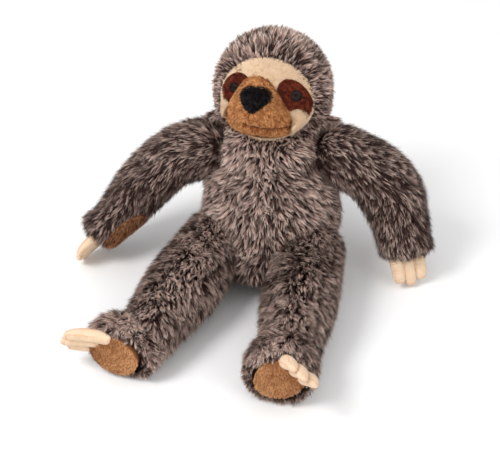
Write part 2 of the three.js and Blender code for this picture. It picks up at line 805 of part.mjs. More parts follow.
function makeLeg(name, pose) {
  const group = new THREE.Group();
  group.position.copy(hipAt(pose.side));
  toy.add(group);
  const ankle = ankleFrom(pose);
  const curve = new THREE.LineCurve3(origin, ankle);
  const inward = torsoGroup.localToWorld(origin.clone()).sub(group.position);
  inward.x = 0;
  const skin = legForm(curve, 0, fine)
    .subtract(legForm(curve, leg.wall, coarse))
    .subtract(bar(leg.opening, origin, inward))
    .subtract(bar(foot.opening, ankle, ankle.clone().multiplyScalar(2)))
    .subtract(belowFloor(group));
  const wad = ball(wadRadius.hip, origin, roundWad);
  const filling = legForm(curve, leg.wall + gap, coarse)
    .subtract(ball(wadRadius.hip + wadPlay, origin, roundWad))
    .subtract(bar(leg.opening, origin, inward));
  addPiece(group, `hip_filling_${name}`, wad, clothMaterials.stuffing);
  addPiece(group, `leg_skin_${name}`, skin, furMaterials.dark);
  addPiece(group, `leg_filling_${name}`, filling, clothMaterials.stuffing);
  makeFoot(group, name, pose, ankle);
}

// The foot's frame: -Y points out of the sole and Z towards the toes, rolled outwards.
function footGroupAt(pose, ankle) {
  const out = direction(pose.side, pose.footOut, pose.footUp);
  const level = out.clone().cross(up).normalize();
  const toes = level.clone().cross(out).applyAxisAngle(out, -pose.side * pose.footRoll);
  const row = toes.clone().cross(out).normalize();
  const turn = new THREE.Matrix4().makeBasis(row, out.clone().negate(), toes);
  const lowest = Math.hypot(foot.halfWidth * row.z, foot.halfDepth * out.z, foot.halfHeight * toes.z);
  const group = new THREE.Group();
  group.position.copy(ankle).addScaledVector(direction(pose.side, pose.footFrom, 0), foot.reach);
  group.position.z = lowest - floorCut - hip.height;
  group.quaternion.setFromRotationMatrix(turn);
  return group;
}

function footForm(inset, facets) {
  return ovalBall(foot.halfWidth - inset, foot.halfDepth - inset, foot.halfHeight - inset, facets)
    .trimByPlane([0, 1, 0], -(sole.forward - inset));
}

function makeFoot(legGroup, name, pose, ankle) {
  const group = footGroupAt(pose, ankle);
  legGroup.add(group);
  group.updateWorldMatrix(true, true);
  const pivot = group.worldToLocal(legGroup.localToWorld(ankle.clone()));
  const hipLocal = group.worldToLocal(legGroup.localToWorld(origin.clone()));
  const toeReach = direction(1, pose.toesOut, pose.toesUp);
  const toeRoot = new THREE.Vector3(0, -toeRootShare * sole.forward, toeClaws.rise);
  const toeRow = across.clone().applyAxisAngle(toeReach, pose.toesTwist);
  const clawGroup = framed(toeRoot, toeReach, toeRow);
  group.add(clawGroup);
  const ahead = pivot.clone().sub(hipLocal).normalize();
  const legEnd = (extra) => ball(leg.endRadius + play + extra, pivot, roundMedium);
  const open = (form, extra) =>
    form.trimByPlane(ahead.toArray(), pivot.dot(ahead) + footBack + extra).subtract(legEnd(extra));
  const solePrism = (extra) =>
    ovalBar(sole.halfWidth + extra, sole.halfHeight + extra, foot.halfDepth, origin, forward, across);
  const pocket = solePrism(gap).subtract(footForm(sole.thickness + gap, roundMedium));
  const slotInside = (extra) => applied(clawSlot(toeClaws, extra), clawGroup.matrix);
  const cavity = footForm(foot.wall, roundCoarse).subtract(slotInside(foot.wall));
  const skin = open(footForm(0, roundMedium), 0)
    .subtract(cavity)
    .subtract(pocket)
    .subtract(slotInside(0))
    .subtract(belowFloor(group));
  const filling = open(footForm(foot.wall + gap, roundCoarse), gap)
    .subtract(slotInside(foot.wall + gap));
  const pad = solePrism(0)
    .intersect(footForm(0, roundMedium))
    .subtract(footForm(sole.thickness, roundMedium));
  addPiece(group, `foot_skin_${name}`, skin, furMaterials.dark);
  addPiece(group, `foot_filling_${name}`, filling, clothMaterials.stuffing);
  addPiece(group, `sole_pad_${name}`, pad.subtract(slotInside(0)), clothMaterials.sole);
  addPiece(clawGroup, `toe_claws_${name}`, clawsForm(toeClaws), clothMaterials.claw);
}

makeTorso();
makeHead();
makeFace();
for (const [name, pose] of Object.entries(posture)) {
  makeArm(name, pose);
  makeLeg(name, pose);
}

export default toy;
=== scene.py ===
"""The looks of a plush sloth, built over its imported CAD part.

Shapes are worked out in millimetres, +Z up, the toy facing -Y with its own left side at +X,
and go into the meshes in metres. A surface is a function of two parameters from 0 to 1: u
once round, and v from one closed end to the other, so that the turn of u times the way of v
points outwards.
"""

import math
from types import SimpleNamespace as Sizes

import bpy
import numpy as np
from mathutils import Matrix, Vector


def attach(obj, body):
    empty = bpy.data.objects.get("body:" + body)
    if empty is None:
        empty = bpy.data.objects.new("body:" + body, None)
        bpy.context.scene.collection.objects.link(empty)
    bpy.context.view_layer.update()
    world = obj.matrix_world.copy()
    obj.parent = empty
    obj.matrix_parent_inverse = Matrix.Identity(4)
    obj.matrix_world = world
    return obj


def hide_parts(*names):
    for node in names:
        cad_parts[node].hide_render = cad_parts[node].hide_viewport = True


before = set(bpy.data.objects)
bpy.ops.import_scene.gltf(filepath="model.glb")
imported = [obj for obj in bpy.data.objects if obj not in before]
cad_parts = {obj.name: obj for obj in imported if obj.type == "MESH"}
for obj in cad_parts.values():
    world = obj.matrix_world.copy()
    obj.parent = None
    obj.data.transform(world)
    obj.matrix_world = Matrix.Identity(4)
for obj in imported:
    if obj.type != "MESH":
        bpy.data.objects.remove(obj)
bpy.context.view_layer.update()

MM = 0.001
FORWARD = np.array([0.0, -1.0, 0.0])
UP = np.array([0.0, 0.0, 1.0])
ACROSS = np.array([1.0, 0.0, 0.0])
STRAND_REACH = 0.2  # of the colour map's height that a strand takes from root to tip
STRAND_WIDTH = 0.001  # of the colour map's width that it takes


# ------------------------------------------------------------------ sums on vectors


def unit(vectors):
    """Each vector divided by its own length."""
    return vectors / np.maximum(np.linalg.norm(vectors, axis=-1, keepdims=True), 1e-9)


def dot(a, b):
    """The sum of the products of two vectors' parts, kept as a column."""
    return np.sum(a * b, axis=-1, keepdims=True)


def level_with(vectors, normals):
    """The part of each vector that lies along the surface, at length one."""
    return unit(vectors - normals * dot(vectors, normals))


def turned(axis, angle):
    """The turn by an angle about a unit axis: 1 + sin·K + (1 - cos)·K², K its cross product."""
    x, y, z = axis
    cross = np.array([[0, -z, y], [z, 0, -x], [-y, x, 0]])
    return np.eye(3) + math.sin(angle) * cross + (1 - math.cos(angle)) * cross @ cross


def blend(a, b, share):
    """From a to b along 3s² - 2s³."""
    share = np.clip(share, 0, 1)
    return a + (b - a) * share * share * (3 - 2 * share)


def bell(share):
    """A bell of height one: e to the power of -s²."""
    return np.exp(-(share**2))


def swell(start, middle, end, share):
    """A size that blends from its start to its middle, and on to its end."""
    return np.where(2 * share < 1, blend(start, middle, 2 * share), blend(middle, end, 2 * share - 1))


def direction(side, out, rise):
    """The way that leads outwards from straight ahead by one angle and up by another, in degrees."""
    out, rise = math.radians(out), math.radians(rise)
    level = math.cos(rise)
    return np.array([side * math.sin(out) * level, -math.cos(out) * level, math.sin(rise)])


class Place:
    """Where a form stands: its axes as the columns of a matrix, and its middle."""

    def __init__(self, axes, at):
        self.axes, self.at = np.asarray(axes, float), np.asarray(at, float)

    def out(self, points):
        """Points of the form's own frame in the toy's."""
        return points @ self.axes.T + self.at

    def into(self, points):
        """Points of the toy's frame in the form's own."""
        return (points - self.at) @ self.axes

    def way(self, vectors):
        """Directions of the form's own frame in the toy's."""
        return np.asarray(vectors, float) @ self.axes.T

    def ways_in(self, vectors):
        """Directions of the toy's frame in the form's own."""
        return np.asarray(vectors, float) @ self.axes


# ------------------------------------------------------------------ random fields


def hashed(cells, seed, channels):
    """Numbers from 0 to 1 that belong to whole-number cells of space, by a multiply-and-shift hash."""
    cells = cells.astype(np.int64).astype(np.uint64)
    mixed = (
        cells[..., 0] * np.uint64(73856093)
        ^ cells[..., 1] * np.uint64(19349663)
        ^ cells[..., 2] * np.uint64(83492791)
        ^ np.uint64(seed * 2654435761 % 2**32)
    )
    layers = []
    for channel in range(channels):
        value = (mixed + np.uint64(374761393 * (channel + 1))) & np.uint64(0xFFFFFFFF)
        value = ((value ^ (value >> np.uint64(15))) * np.uint64(2246822519)) & np.uint64(0xFFFFFFFF)
        value = ((value ^ (value >> np.uint64(13))) * np.uint64(3266489917)) & np.uint64(0xFFFFFFFF)
        layers.append(((value ^ (value >> np.uint64(16))) / 2**32).astype(float))
    return np.stack(layers, -1)


def drift(points, size, seed, channels=3):
    """A smooth random field from -1 to 1: hashed corner values of cubes of that size, blended
    along all three axes by 3s² - 2s³."""
    scaled = points / size
    low = np.floor(scaled)
    share = scaled - low
    share = share * share * (3 - 2 * share)
    total = 0
    for corner in np.ndindex(2, 2, 2):
        weight = np.prod(np.where(corner, share, 1 - share), -1)[..., None]
        total = total + weight * hashed(low + corner, seed, channels)
    return 2 * total - 1


def tufts(points, size, seed):
    """The nearest of a set of scattered centres, one in each cube of that size, and three
    random numbers that belong to it."""
    low = np.floor(points / size)
    nearest = np.full(len(points), np.inf)
    centres, traits = np.zeros_like(points), np.zeros_like(points)
    for step in np.ndindex(3, 3, 3):
        cell = low + step - 1
        centre = (cell + hashed(cell, seed, 3)) * size
        distance = np.linalg.norm(centre - points, axis=-1)
        closer = distance < nearest
        nearest = np.where(closer, distance, nearest)
        centres[closer] = centre[closer]
        traits[closer] = hashed(cell, seed + 1, 3)[closer]
    return centres, traits


# ------------------------------------------------------------------ surfaces


def stuffed_form(route, row, width_at, depth_at, cap_start, cap_end, caps):
    """An oval carried along a route: centre + row·w·cos2πu + through·d·sin2πu. Over the first
    and last shares of v its size follows a quarter circle down to a closed, rounded end."""

    def surface(u, v):
        turn = 2 * math.pi * u
        opening = np.clip(v / caps[0], 0, 1) * math.pi / 2
        closing = np.clip((1 - v) / caps[1], 0, 1) * math.pi / 2
        share = np.clip((v - caps[0]) / (1 - caps[0] - caps[1]), 0, 1)
        centre, along = route(share)
        wide = unit(row - along * dot(row, along))
        through = np.cross(along, wide)
        centre = centre + along * (cap_end * np.cos(closing) - cap_start * np.cos(opening))[..., None]
        size = np.sin(opening) * np.sin(closing)
        side = wide * (width_at(share) * size * np.cos(turn))[..., None]
        return centre + side + through * (depth_at(share) * size * np.sin(turn))[..., None]

    return surface


def straight(start, end):
    """A straight route: start + s·(end - start)."""
    along = unit(end - start)

    def route(share):
        return start + share[..., None] * (end - start), np.broadcast_to(along, share.shape + (3,))

    return route


def curved(corners):
    """A Bezier curve through the first and last corners, drawn to those between, measured off
    along its own length."""
    corners = np.asarray(corners, float)
    degree = len(corners) - 1

    def at(t, rows, power):
        terms = [math.comb(power, i) * (1 - t) ** (power - i) * t**i for i in range(power + 1)]
        return sum(term[..., None] * row for term, row in zip(terms, rows))

    steps = np.linspace(0, 1, 201)
    points = at(steps, corners, degree)
    lengths = np.concatenate([[0], np.cumsum(np.linalg.norm(np.diff(points, axis=0), axis=1))])

    def route(share):
        t = np.interp(share * lengths[-1], lengths, steps)
        return at(t, corners, degree), unit(at(t, np.diff(corners, axis=0), degree - 1))

    return route


def laid_pad(place, outline, middle, lift, back, rise, trim=lambda x, z: (x, z)):
    """A pad laid on a surface that faces -Y. Along v it goes from its back's middle to its edge
    at v = 1/2 and on to its front's middle; x and z lie between the middle and outline(u). The
    back is lift(x, z) - back deep, and the front stands at lift(x, z) + rise(share of the way out).
    trim moves points that would lie too far out."""

    def surface(u, v):
        x, z = outline(2 * math.pi * u)
        share = 1 - np.abs(2 * v - 1)
        x, z = trim(middle[0] + (x - middle[0]) * share, middle[1] + (z - middle[1]) * share)
        height = lift(x, z) + np.where(v > 0.5, rise(share), -back)
        return place.out(np.stack([x, -height, z], -1))

    return surface


def drawn_in(surface, depth):
    """A surface moved inwards by a depth along its normals, and lifted clear of the floor."""
    clearance = 1.5

    def inner(u, v):
        points = surface(u, v) - outward(surface, u, v)[0] * depth
        points[..., 2] = np.maximum(points[..., 2], clearance)
        return points

    return inner


def outward(surface, u, v):
    """Unit normals, and the way along v, from the surface a small step to each side."""
    step = 2e-3
    u, v = np.broadcast_arrays(u, np.clip(v, 2 * step, 1 - 2 * step))
    round_way = surface(u + step, v) - surface(u - step, v)
    long_way = surface(u, v + step) - surface(u, v - step)
    return unit(np.cross(round_way, long_way)), unit(long_way)


def tube(rings, sides):
    """The faces between rings of points that follow one another."""
    ring, side = np.meshgrid(np.arange(rings - 1) * sides, np.arange(sides), indexing="ij")
    ring, side = ring.ravel(), side.ravel()
    beside = (side + 1) % sides
    return np.stack([ring + side, ring + beside, ring + sides + beside, ring + sides + side], -1)


def closed_grid(surface, around, along):
    """Points and faces of a closed surface: rings of points, and one point at each end."""
    u, v = np.meshgrid(np.arange(around) / around, np.arange(1, along) / along)
    rings = surface(u.ravel(), v.ravel())
    ends = surface(np.zeros(2), np.array([0.0, 1.0]))
    sides = np.arange(around)
    beside = (sides + 1) % around
    first, last, top = len(rings), len(rings) + 1, (along - 2) * around
    fan_low = np.stack([np.full(around, first), beside, sides], -1)
    fan_high = np.stack([np.full(around, last), top + sides, top + beside], -1)
    return np.concatenate([rings, ends]), [tube(along - 1, around), fan_low, fan_high]


# ------------------------------------------------------------------ meshes and pieces


def mesh_of(name, points, face_sets, uv=None, normals=None):
    """A mesh in metres from points in millimetres and arrays of faces with equal sides. uv has
    one pair for each point."""
    mesh = bpy.data.meshes.new(name)
    corners = np.concatenate([faces.ravel() for faces in face_sets]).astype(np.int32)
    sizes = np.concatenate([np.full(len(faces), faces.shape[1]) for faces in face_sets])
    starts = np.concatenate([[0], np.cumsum(sizes)[:-1]]).astype(np.int32)
    mesh.vertices.add(len(points))
    mesh.vertices.foreach_set("co", (points * MM).astype(np.float32).ravel())
    mesh.loops.add(len(corners))
    mesh.loops.foreach_set("vertex_index", corners)
    mesh.polygons.add(len(sizes))
    mesh.polygons.foreach_set("loop_start", starts)
    mesh.update(calc_edges=True)
    mesh.polygons.foreach_set("use_smooth", np.ones(len(sizes), bool))
    if uv is not None:
        layer = mesh.uv_layers.new(name="OFBake")
        layer.uv.foreach_set("vector", uv[corners].astype(np.float32).ravel())
    if normals is not None:
        mesh.normals_split_custom_set_from_vertices(normals.astype(np.float32))
    return mesh


def add_piece(name, mesh, body, material, nodes=()):
    """A finished piece: its object at the origin, its place in its mesh, riding on its body. It may replace CAD
    nodes."""
    piece = bpy.data.objects.new(name, mesh)
    bpy.context.scene.collection.objects.link(piece)
    mesh.materials.append(material)
    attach(piece, body)
    if nodes:
        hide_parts(*nodes)


def add_closed(name, surface, grid, body, material, nodes):
    """A piece whose mesh is a closed surface."""
    add_piece(name, mesh_of(name, *closed_grid(surface, *grid)), body, material, nodes)


# ------------------------------------------------------------------ shader maths


class Value:
    """A shader socket in a sum: Python's signs add Math nodes to the material's tree."""

    def __init__(self, paint, socket):
        self.paint, self.socket = paint, socket

    def _math(self, operation, *terms):
        return self.paint.node("ShaderNodeMath", {"operation": operation}, dict(enumerate(terms)))[0]

    def __add__(self, other):
        return self._math("ADD", self, other)

    def __sub__(self, other):
        return self._math("SUBTRACT", self, other)

    def __mul__(self, other):
        return self._math("MULTIPLY", self, other)

    def __truediv__(self, other):
        return self._math("DIVIDE", self, other)

    __radd__, __rmul__ = __add__, __mul__

    def of(self, operation, *others):
        """Any other Math operation, such as the larger of two values."""
        return self._math(operation, self, *others)


class Paint:
    """A material being put together."""

    def __init__(self, name, roughness=0.9, shine=0.25):
        self.material = bpy.data.materials.new(name)
        self.material.use_nodes = True
        self.tree = self.material.node_tree
        self.shader = self.tree.nodes["Principled BSDF"]
        self.shader.inputs["Roughness"].default_value = roughness
        self.shader.inputs["Specular IOR Level"].default_value = shine

    def node(self, kind, settings=None, sockets=None):
        """Adds a node of any type, its settings first and then the values or links of its
        sockets, and gives its outputs."""
        node = self.tree.nodes.new(kind)
        for name, setting in (settings or {}).items():
            if name == "stops":
                ramp = node.color_ramp
                while len(ramp.elements) < len(setting):
                    ramp.elements.new(0.5)
                for element, (position, colour) in zip(ramp.elements, setting):
                    element.position, element.color = position, colour
            else:
                setattr(node, name, setting)
        for name, value in (sockets or {}).items():
            socket = node.inputs[name]
            if isinstance(value, Value):
                self.tree.links.new(value.socket, socket)
            else:
                socket.default_value = value
        return [Value(self, socket) for socket in node.outputs]

    def noise(self, size, detail=2.0, stretch=None):
        """Smooth noise whose features are about that many millimetres across."""
        where = self.node("ShaderNodeTexCoord")[3]
        if stretch:
            where = self.node("ShaderNodeMapping", None, {0: where, "Scale": stretch})[0]
        sockets = {"Vector": where, "Scale": 1 / (size * MM), "Detail": detail}
        return self.node("ShaderNodeTexNoise", None, sockets)[0]

    def mixed(self, share, first, second):
        """A colour between two others, each a socket or a screen's red, green and blue."""
        first, second = (c if isinstance(c, Value) else rgb(*c) for c in (first, second))
        sockets = {"Factor": share, 6: first, 7: second}
        return self.node("ShaderNodeMix", {"data_type": "RGBA"}, sockets)[2]

    def ramp(self, share, stops):
        """A colour read off a row of stops, the colour of each given by its place."""
        stops = [(at, rgb(*colour)) for at, colour in stops.items()]
        return self.node("ShaderNodeValToRGB", {"stops": stops}, {0: share})[0]

    def colour(self, value):
        """The base colour, from a socket."""
        self.tree.links.new(value.socket, self.shader.inputs["Base Color"])
        return self

    def bumps(self, height, distance):
        """Surface relief that many millimetres deep."""
        sockets = {"Height": height, "Distance": distance * MM, "Strength": 1.0}
        bump = self.node("ShaderNodeBump", None, sockets)[0]
        self.tree.links.new(bump.socket, self.shader.inputs["Normal"])
        return self


def rgb(red, green, blue):
    """A colour as seen on a screen, 0 to 255, turned into light: ((c + 0.055) / 1.055)^2.4."""
    light = [c / 255 / 12.92 if c <= 10 else ((c / 255 + 0.055) / 1.055) ** 2.4 for c in (red, green, blue)]
    return (*light, 1.0)


def pile_paint(name, dark, light, roughness=0.85, shine=0.25):
    """Strands of pile or fur. Across the map goes the strand's tone from dark to light, and up
    the map the way from its root to its tip, so that the colour is one function of both."""
    paint = Paint(name, roughness, shine)
    where = paint.node("ShaderNodeUVMap", {"uv_map": "OFBake"})[0]
    tone, way, _ = paint.node("ShaderNodeSeparateXYZ", None, {0: where})
    way = way / STRAND_REACH
    return paint.colour(paint.mixed(tone, paint.ramp(way, dark), paint.ramp(way, light))).material


def cloth_paint(name, dark, light, grain=0.7, relief=0.25, patches=9.0):
    """Short-pile cloth: soft patches and a fine grain between a darker and a lighter colour."""
    paint = Paint(name)
    fine = paint.noise(grain, 3.0)
    broad = paint.noise(patches, 1.0)
    share = (fine * 0.6 + broad * 0.6 - 0.1).of("MAXIMUM", 0.0).of("MINIMUM", 1.0)
    return paint.colour(paint.mixed(share, dark, light)).bumps(fine, relief).material


def woven_paint(name, dark, light, pitch=0.55):
    """Fine plain-woven cloth: two waves of threads a pitch apart across and along the piece's
    own map, which is laid out in millimetres, over soft patches of colour."""
    paint = Paint(name, 0.8)
    where = paint.node("ShaderNodeUVMap", {"uv_map": "Weave"})[0]
    across, along, _ = paint.node("ShaderNodeSeparateXYZ", None, {0: where})
    threads = (across * (2 * math.pi / pitch)).of("SINE") * (along * (2 * math.pi / pitch)).of("SINE")
    threads = threads * 0.5 + 0.5
    share = (threads * 0.25 + paint.noise(7.0) * 0.9 - 0.05).of("MAXIMUM", 0.0).of("MINIMUM", 1.0)
    return paint.colour(paint.mixed(share, dark, light)).bumps(threads, 0.12).material


def thread_paint(name, dark, light):
    """Twisted thread: fine slanting streaks between two colours."""
    paint = Paint(name, 0.6)
    streaks = paint.noise(0.5, 2.0, (1.0, 1.0, 3.0))
    return paint.colour(paint.mixed(streaks, dark, light)).bumps(streaks, 0.1).material


fur = pile_paint(
    "fur",
    {0.0: (12, 3, 2), 0.5: (28, 9, 5), 0.8: (46, 18, 12), 1.0: (74, 41, 32)},
    {0.0: (24, 8, 5), 0.35: (82, 47, 37), 0.65: (198, 163, 149), 1.0: (255, 239, 226)},
    roughness=0.7,
)
cream_pile = pile_paint("cream_pile", {0: (180, 140, 102), 1: (210, 176, 140)},
                        {0: (216, 184, 150), 1: (238, 220, 196)})
tan_pile = pile_paint("tan_pile", {0: (118, 55, 18), 1: (158, 88, 42)},
                      {0: (198, 126, 70), 1: (246, 190, 130)})
sole_pile = pile_paint("sole_pile", {0: (108, 54, 24), 1: (150, 88, 48)},
                       {0: (178, 114, 66), 1: (236, 184, 132)})
patch_pile = pile_paint("patch_pile", {0: (50, 10, 4), 1: (74, 23, 11)},
                        {0: (90, 28, 13), 1: (140, 66, 42)}, shine=0.1)
black_pile = pile_paint("black_pile", {0: (2, 1, 2), 1: (6, 4, 5)},
                        {0: (8, 5, 6), 1: (48, 40, 42)}, 0.6, 0.08)
charcoal_pile = pile_paint("charcoal_pile", {0: (6, 4, 4), 1: (14, 10, 10)},
                           {0: (26, 20, 19), 1: (76, 64, 61)}, shine=0.08)
fur_ground = cloth_paint("fur_ground", (30, 17, 15), (58, 40, 36), grain=1.2, relief=0.8)
cream_ground = cloth_paint("cream_ground", (205, 170, 132), (232, 208, 178))
tan_ground = cloth_paint("tan_ground", (148, 86, 46), (182, 120, 72))
sole_ground = cloth_paint("sole_ground", (124, 66, 32), (176, 112, 66))
patch_ground = cloth_paint("patch_ground", (62, 22, 13), (98, 44, 30))
black_ground = cloth_paint("black_ground", (12, 9, 10), (26, 22, 24))
charcoal_ground = cloth_paint("charcoal_ground", (24, 20, 20), (48, 42, 42), grain=0.5)
claw_cloth = woven_paint("claw_cloth", (219, 183, 149), (242, 218, 190))
orange_thread = thread_paint("orange_thread", (214, 146, 112), (240, 184, 152))
white_thread = thread_paint("white_thread", (222, 214, 204), (250, 246, 240))
brown_thread = thread_paint("brown_thread", (50, 21, 9), (84, 42, 20))


# ------------------------------------------------------------------ fur and pile

LOWEST = 0.4  # height over the floor below which no strand hangs


def scattered(surface, count, random):
    """Random places (u, v) on a surface, as dense on each cell of a grid as its area asks, and the
    surface's area."""
    cells, margin = 96, 0.004
    shares = np.arange(cells + 1) / cells
    u, v = np.meshgrid(shares, margin + (1 - 2 * margin) * shares, indexing="ij")
    points = surface(u.ravel(), v.ravel()).reshape(cells + 1, cells + 1, 3)
    first, second = points[1:, 1:] - points[:-1, :-1], points[:-1, 1:] - points[1:, :-1]
    areas = np.linalg.norm(np.cross(first, second), axis=-1).ravel() / 2
    picked = random.choice(len(areas), count, p=areas / areas.sum())
    along_u, along_v = random.random((2, count))
    v = margin + (1 - 2 * margin) * (picked % cells + along_v) / cells
    return (picked // cells + along_u) / cells, v, areas.sum()


def uneven(amount, numbers):
    """Random numbers from 0 to 1 as deviations, even to both sides and that amount wide in all."""
    return amount * (numbers - 0.5)


def grow(name, surface, body, slot, material, keep, flow, tone, *, density, length, width, sunk=0.0,
         lean=(28, 64), tuft=2.2, gather=0.62, stray=0.4, segments=2, seed=1, parts=1):
    """Strands of fur or pile over a surface, shared out over one or more pieces.

    Each strand starts a depth below the surface and bends from near the normal towards the
    flow: from its root it goes half its length at the first lean and half at the second. Its
    tip is also drawn to the middle of its tuft by the gather share. It is a flat blade, widest
    at its middle, or at its root if it has one segment, whose width lies across the flow and is
    twisted at random."""
    random = np.random.default_rng(seed)
    _, _, area = scattered(surface, 1, random)
    u, v, _ = scattered(surface, int(area * density), random)
    skin = surface(u, v)
    normals, along = outward(surface, u, v)
    kept = keep(skin, normals)
    skin, normals, along = skin[kept], normals[kept], along[kept]
    count = len(skin)
    centres, traits = tufts(skin, tuft, seed)
    wander = 1.4 * drift(skin, 5 * tuft, seed + 5) + traits * 2 - 1
    ahead = level_with(flow(skin, normals, along) + stray * wander, normals)
    pull = centres - skin
    pull = (pull - normals * dot(pull, normals)) * gather
    reach = (length(skin) if callable(length) else length) * (1 + uneven(0.5, random.random(count)))
    reach = (reach * (1 + uneven(0.3, traits[:, 0])))[:, None]
    steep = np.radians(lean[0] + uneven(20, random.random(count)))[:, None]
    shallow = np.radians(lean[1] + uneven(30, random.random(count)) + uneven(20, traits[:, 1]))[:, None]
    first = normals * np.cos(steep) + ahead * np.sin(steep)
    second = normals * np.cos(shallow) + ahead * np.sin(shallow)
    root = skin - normals * sunk
    middle = root + first * reach / 2 + pull * 0.35
    tip = middle + second * reach / 2 + pull * 0.65
    twist = np.radians(uneven(60, random.random(count)))[:, None]
    beside = np.cross(ahead, normals)
    wide = beside * np.cos(twist) + np.cross(beside, first) * np.sin(twist)
    broad = wide * (width * (1 + uneven(0.6, random.random(count))))[:, None] / 2
    shade = np.clip(tone(skin, traits, random.random(count)), 0.01, 0.99)
    if segments == 2:
        rows = [root - broad * 0.7, root + broad * 0.7, middle - broad, middle + broad, tip]
        ways, sides = [0.0, 0.0, 0.5, 0.5, 1.0], [-1, 1, -1, 1, 0]
        shapes = [np.array([[0, 1, 3, 2]]), np.array([[2, 3, 4]])]
    else:
        rows = [root - broad, root + broad, tip]
        ways, sides = [0.0, 0.0, 1.0], [-1, 1, 0]
        shapes = [np.array([[0, 1, 2]])]
    points = np.stack(rows, 1)
    points[..., 2] = np.maximum(points[..., 2], LOWEST)
    face_way = np.cross(wide, second)
    face_way = face_way * np.sign(dot(face_way, normals))
    facing = np.broadcast_to(unit(normals + 0.6 * face_way)[:, None], points.shape)
    across = shade[:, None] + np.array(sides) * STRAND_WIDTH / 2
    up_map = 0.005 + np.array(ways) * (STRAND_REACH - 0.01)
    uv = np.stack([across, np.broadcast_to(up_map, across.shape)], -1)
    for part in range(parts):
        chosen = slice(part * count // parts, (part + 1) * count // parts)
        some = points[chosen]
        base = np.arange(len(some))[:, None] * len(ways)
        faces = [(base[:, None] + shape[None]).reshape(-1, shape.shape[1]) for shape in shapes]
        title = name if parts == 1 else f"{name}_{part + 1}"
        flat_uv, flat_facing = uv[chosen].reshape(-1, 2), facing[chosen].reshape(-1, 3)
        add_piece(title, mesh_of(title, some.reshape(-1, 3), faces, flat_uv, flat_facing), body, material)


def mottled(base, patchy=0.25, patch=22.0, seed=3, tufty=1.5, single=0.45):
    """A strand's tone: a base, broad patches, its tuft's own shade and its own."""

    def tone(points, traits, own):
        patches = patchy * drift(points, patch, seed, 1)[:, 0]
        return base + patches + uneven(tufty, traits[:, 2]) + uneven(single, own)

    return tone


def downwards(points, normals, along):
    """A flow straight down."""
    return -UP + 0 * points


# ------------------------------------------------------------------ the toy's sizes

# In millimetres, and directions in degrees outwards from straight ahead and upwards from level.
# Most are those of the CAD part. The face, feet, soles and toe claws are up to a few millimetres
# off them, to follow the photograph more closely.
TORSO = Sizes(half_width=62, half_depth=57, bottom=52, length=50, top=46, chest_width=59, chest_depth=51,
              lean=-20, tip=-3.5, hips=(0.99245, -3.50195, 52.14374))
YOKE = Sizes(share=1.3, height=92, reach=13, fade_from=-26, fade_over=24)
LAP = Sizes(depth=24, aside=-2, half_width=25, height=20, half_height=22, fade_over=30)
CHIN = Sizes(depth=9, half_angle=math.radians(32), rise=math.radians(25))
HEAD = Sizes(half=(53, 49, 54), rise=60, tilt=4)
FACE = Sizes(half_width=40.5, half_height=37, low_height=32.5, drop=6, inset=4.5)
CHEEKS = Sizes(height=7.0, middle=-3.5, out=32, half_width=8, drop=21, half_height=9)
MUZZLE = Sizes(half_width=38.5, narrow=17, top=15.5, bottom=35.5, peak=-4, crown=19.5, edge=1.8, aside=-2.8,
               lean=3.4)
MOUTH = Sizes(left=-15.0, right=25.5, drop=25.0, smile=2.2, groove=2.2, run_out=4, thread=0.65, proud=1.3)
NOSE = Sizes(half_width=13.0, rise=1.5, above=8.5, below=12.5, crown=3.5, edge=0.4, aside=-4.0)
PATCH = Sizes(half_long={1: 18.8, -1: 15.4}, half_short=12.0, out=25.2, drop={1: 0.6, -1: -2.4},
              slant=math.radians(54), thick=1.3, round_off=0.6)
EYE = Sizes(radius=4.6, out=26.8, rise={1: 2.5, -1: 3.6}, edge=1.6, crown=1.2)
ARM = Sizes(root=27.5, end_depth=19, cap=13, bend=50, out=59, height=54)
LEG = Sizes(root=31, middle=32.5, end=26, length=125)
HIP = np.array([42.0, -38.0, 35.0])
FOOT = Sizes(half=(27.5, 26, 31), reach=21, sole=15)
SOLE = Sizes(half_width=18.3, half_height=21.2, edge=0.6, crown=1.5, back=4.0)
PALM = Sizes(half_width=12.0, half_length=21.0, back=20.0, round_share=0.1, middle_share=0.79, long_share=0.115,
             proud=0.3, sunk=3.0)
HAND_CLAWS = Sizes(pitch=10.6, half=6.4, tip=5.6, depth=5.0, length=27, sunk=11, palmward=6)
TOE_CLAWS = Sizes(pitch=10.6, half=6.3, tip=5.8, depth=5.3, length=33, rise=12, ahead=11.25)
SIDES = {
    "left": Sizes(
        side=1, reach=99, leave=(93, -20), hand=(71, -46), hand_roll=0, claws=(33, -36), palm_turn=0,
        bow=(6, 0, 2), round=29.5, cuff=25.5, leg=2.2, foot_from=4, foot=(4, -6), foot_roll=38,
        foot_half=(31.5, 30, 32), foot_by=(-3, 0, 0), sole_by=(-3, 0, 3), toes=(-12, 58), toe_twist=-8,
    ),
    "right": Sizes(
        side=-1, reach=120, leave=(98, -16), hand=(64, -36), hand_roll=45, claws=(60, -20), palm_turn=0.05,
        bow=(-10, -2, 7), round=26, cuff=27, leg=13.5, foot_from=38, foot=(12, 0), foot_roll=82,
        foot_half=(25.5, 30, 34), foot_by=(-1, 0, -2), sole_by=(-4, 0, -3), toes=(0, 86), toe_twist=-25,
    ),
}
SUNK = 7.0  # depth of the fur's roots below the outline that the CAD part gives the fur
FLOOR_CUT = 0.5  # depth of the flat patch under a form that rests on the floor
FUR_LENGTH = 10.5
ROUND_GRID = (64, 48)  # points round and along the cover of a rounded form

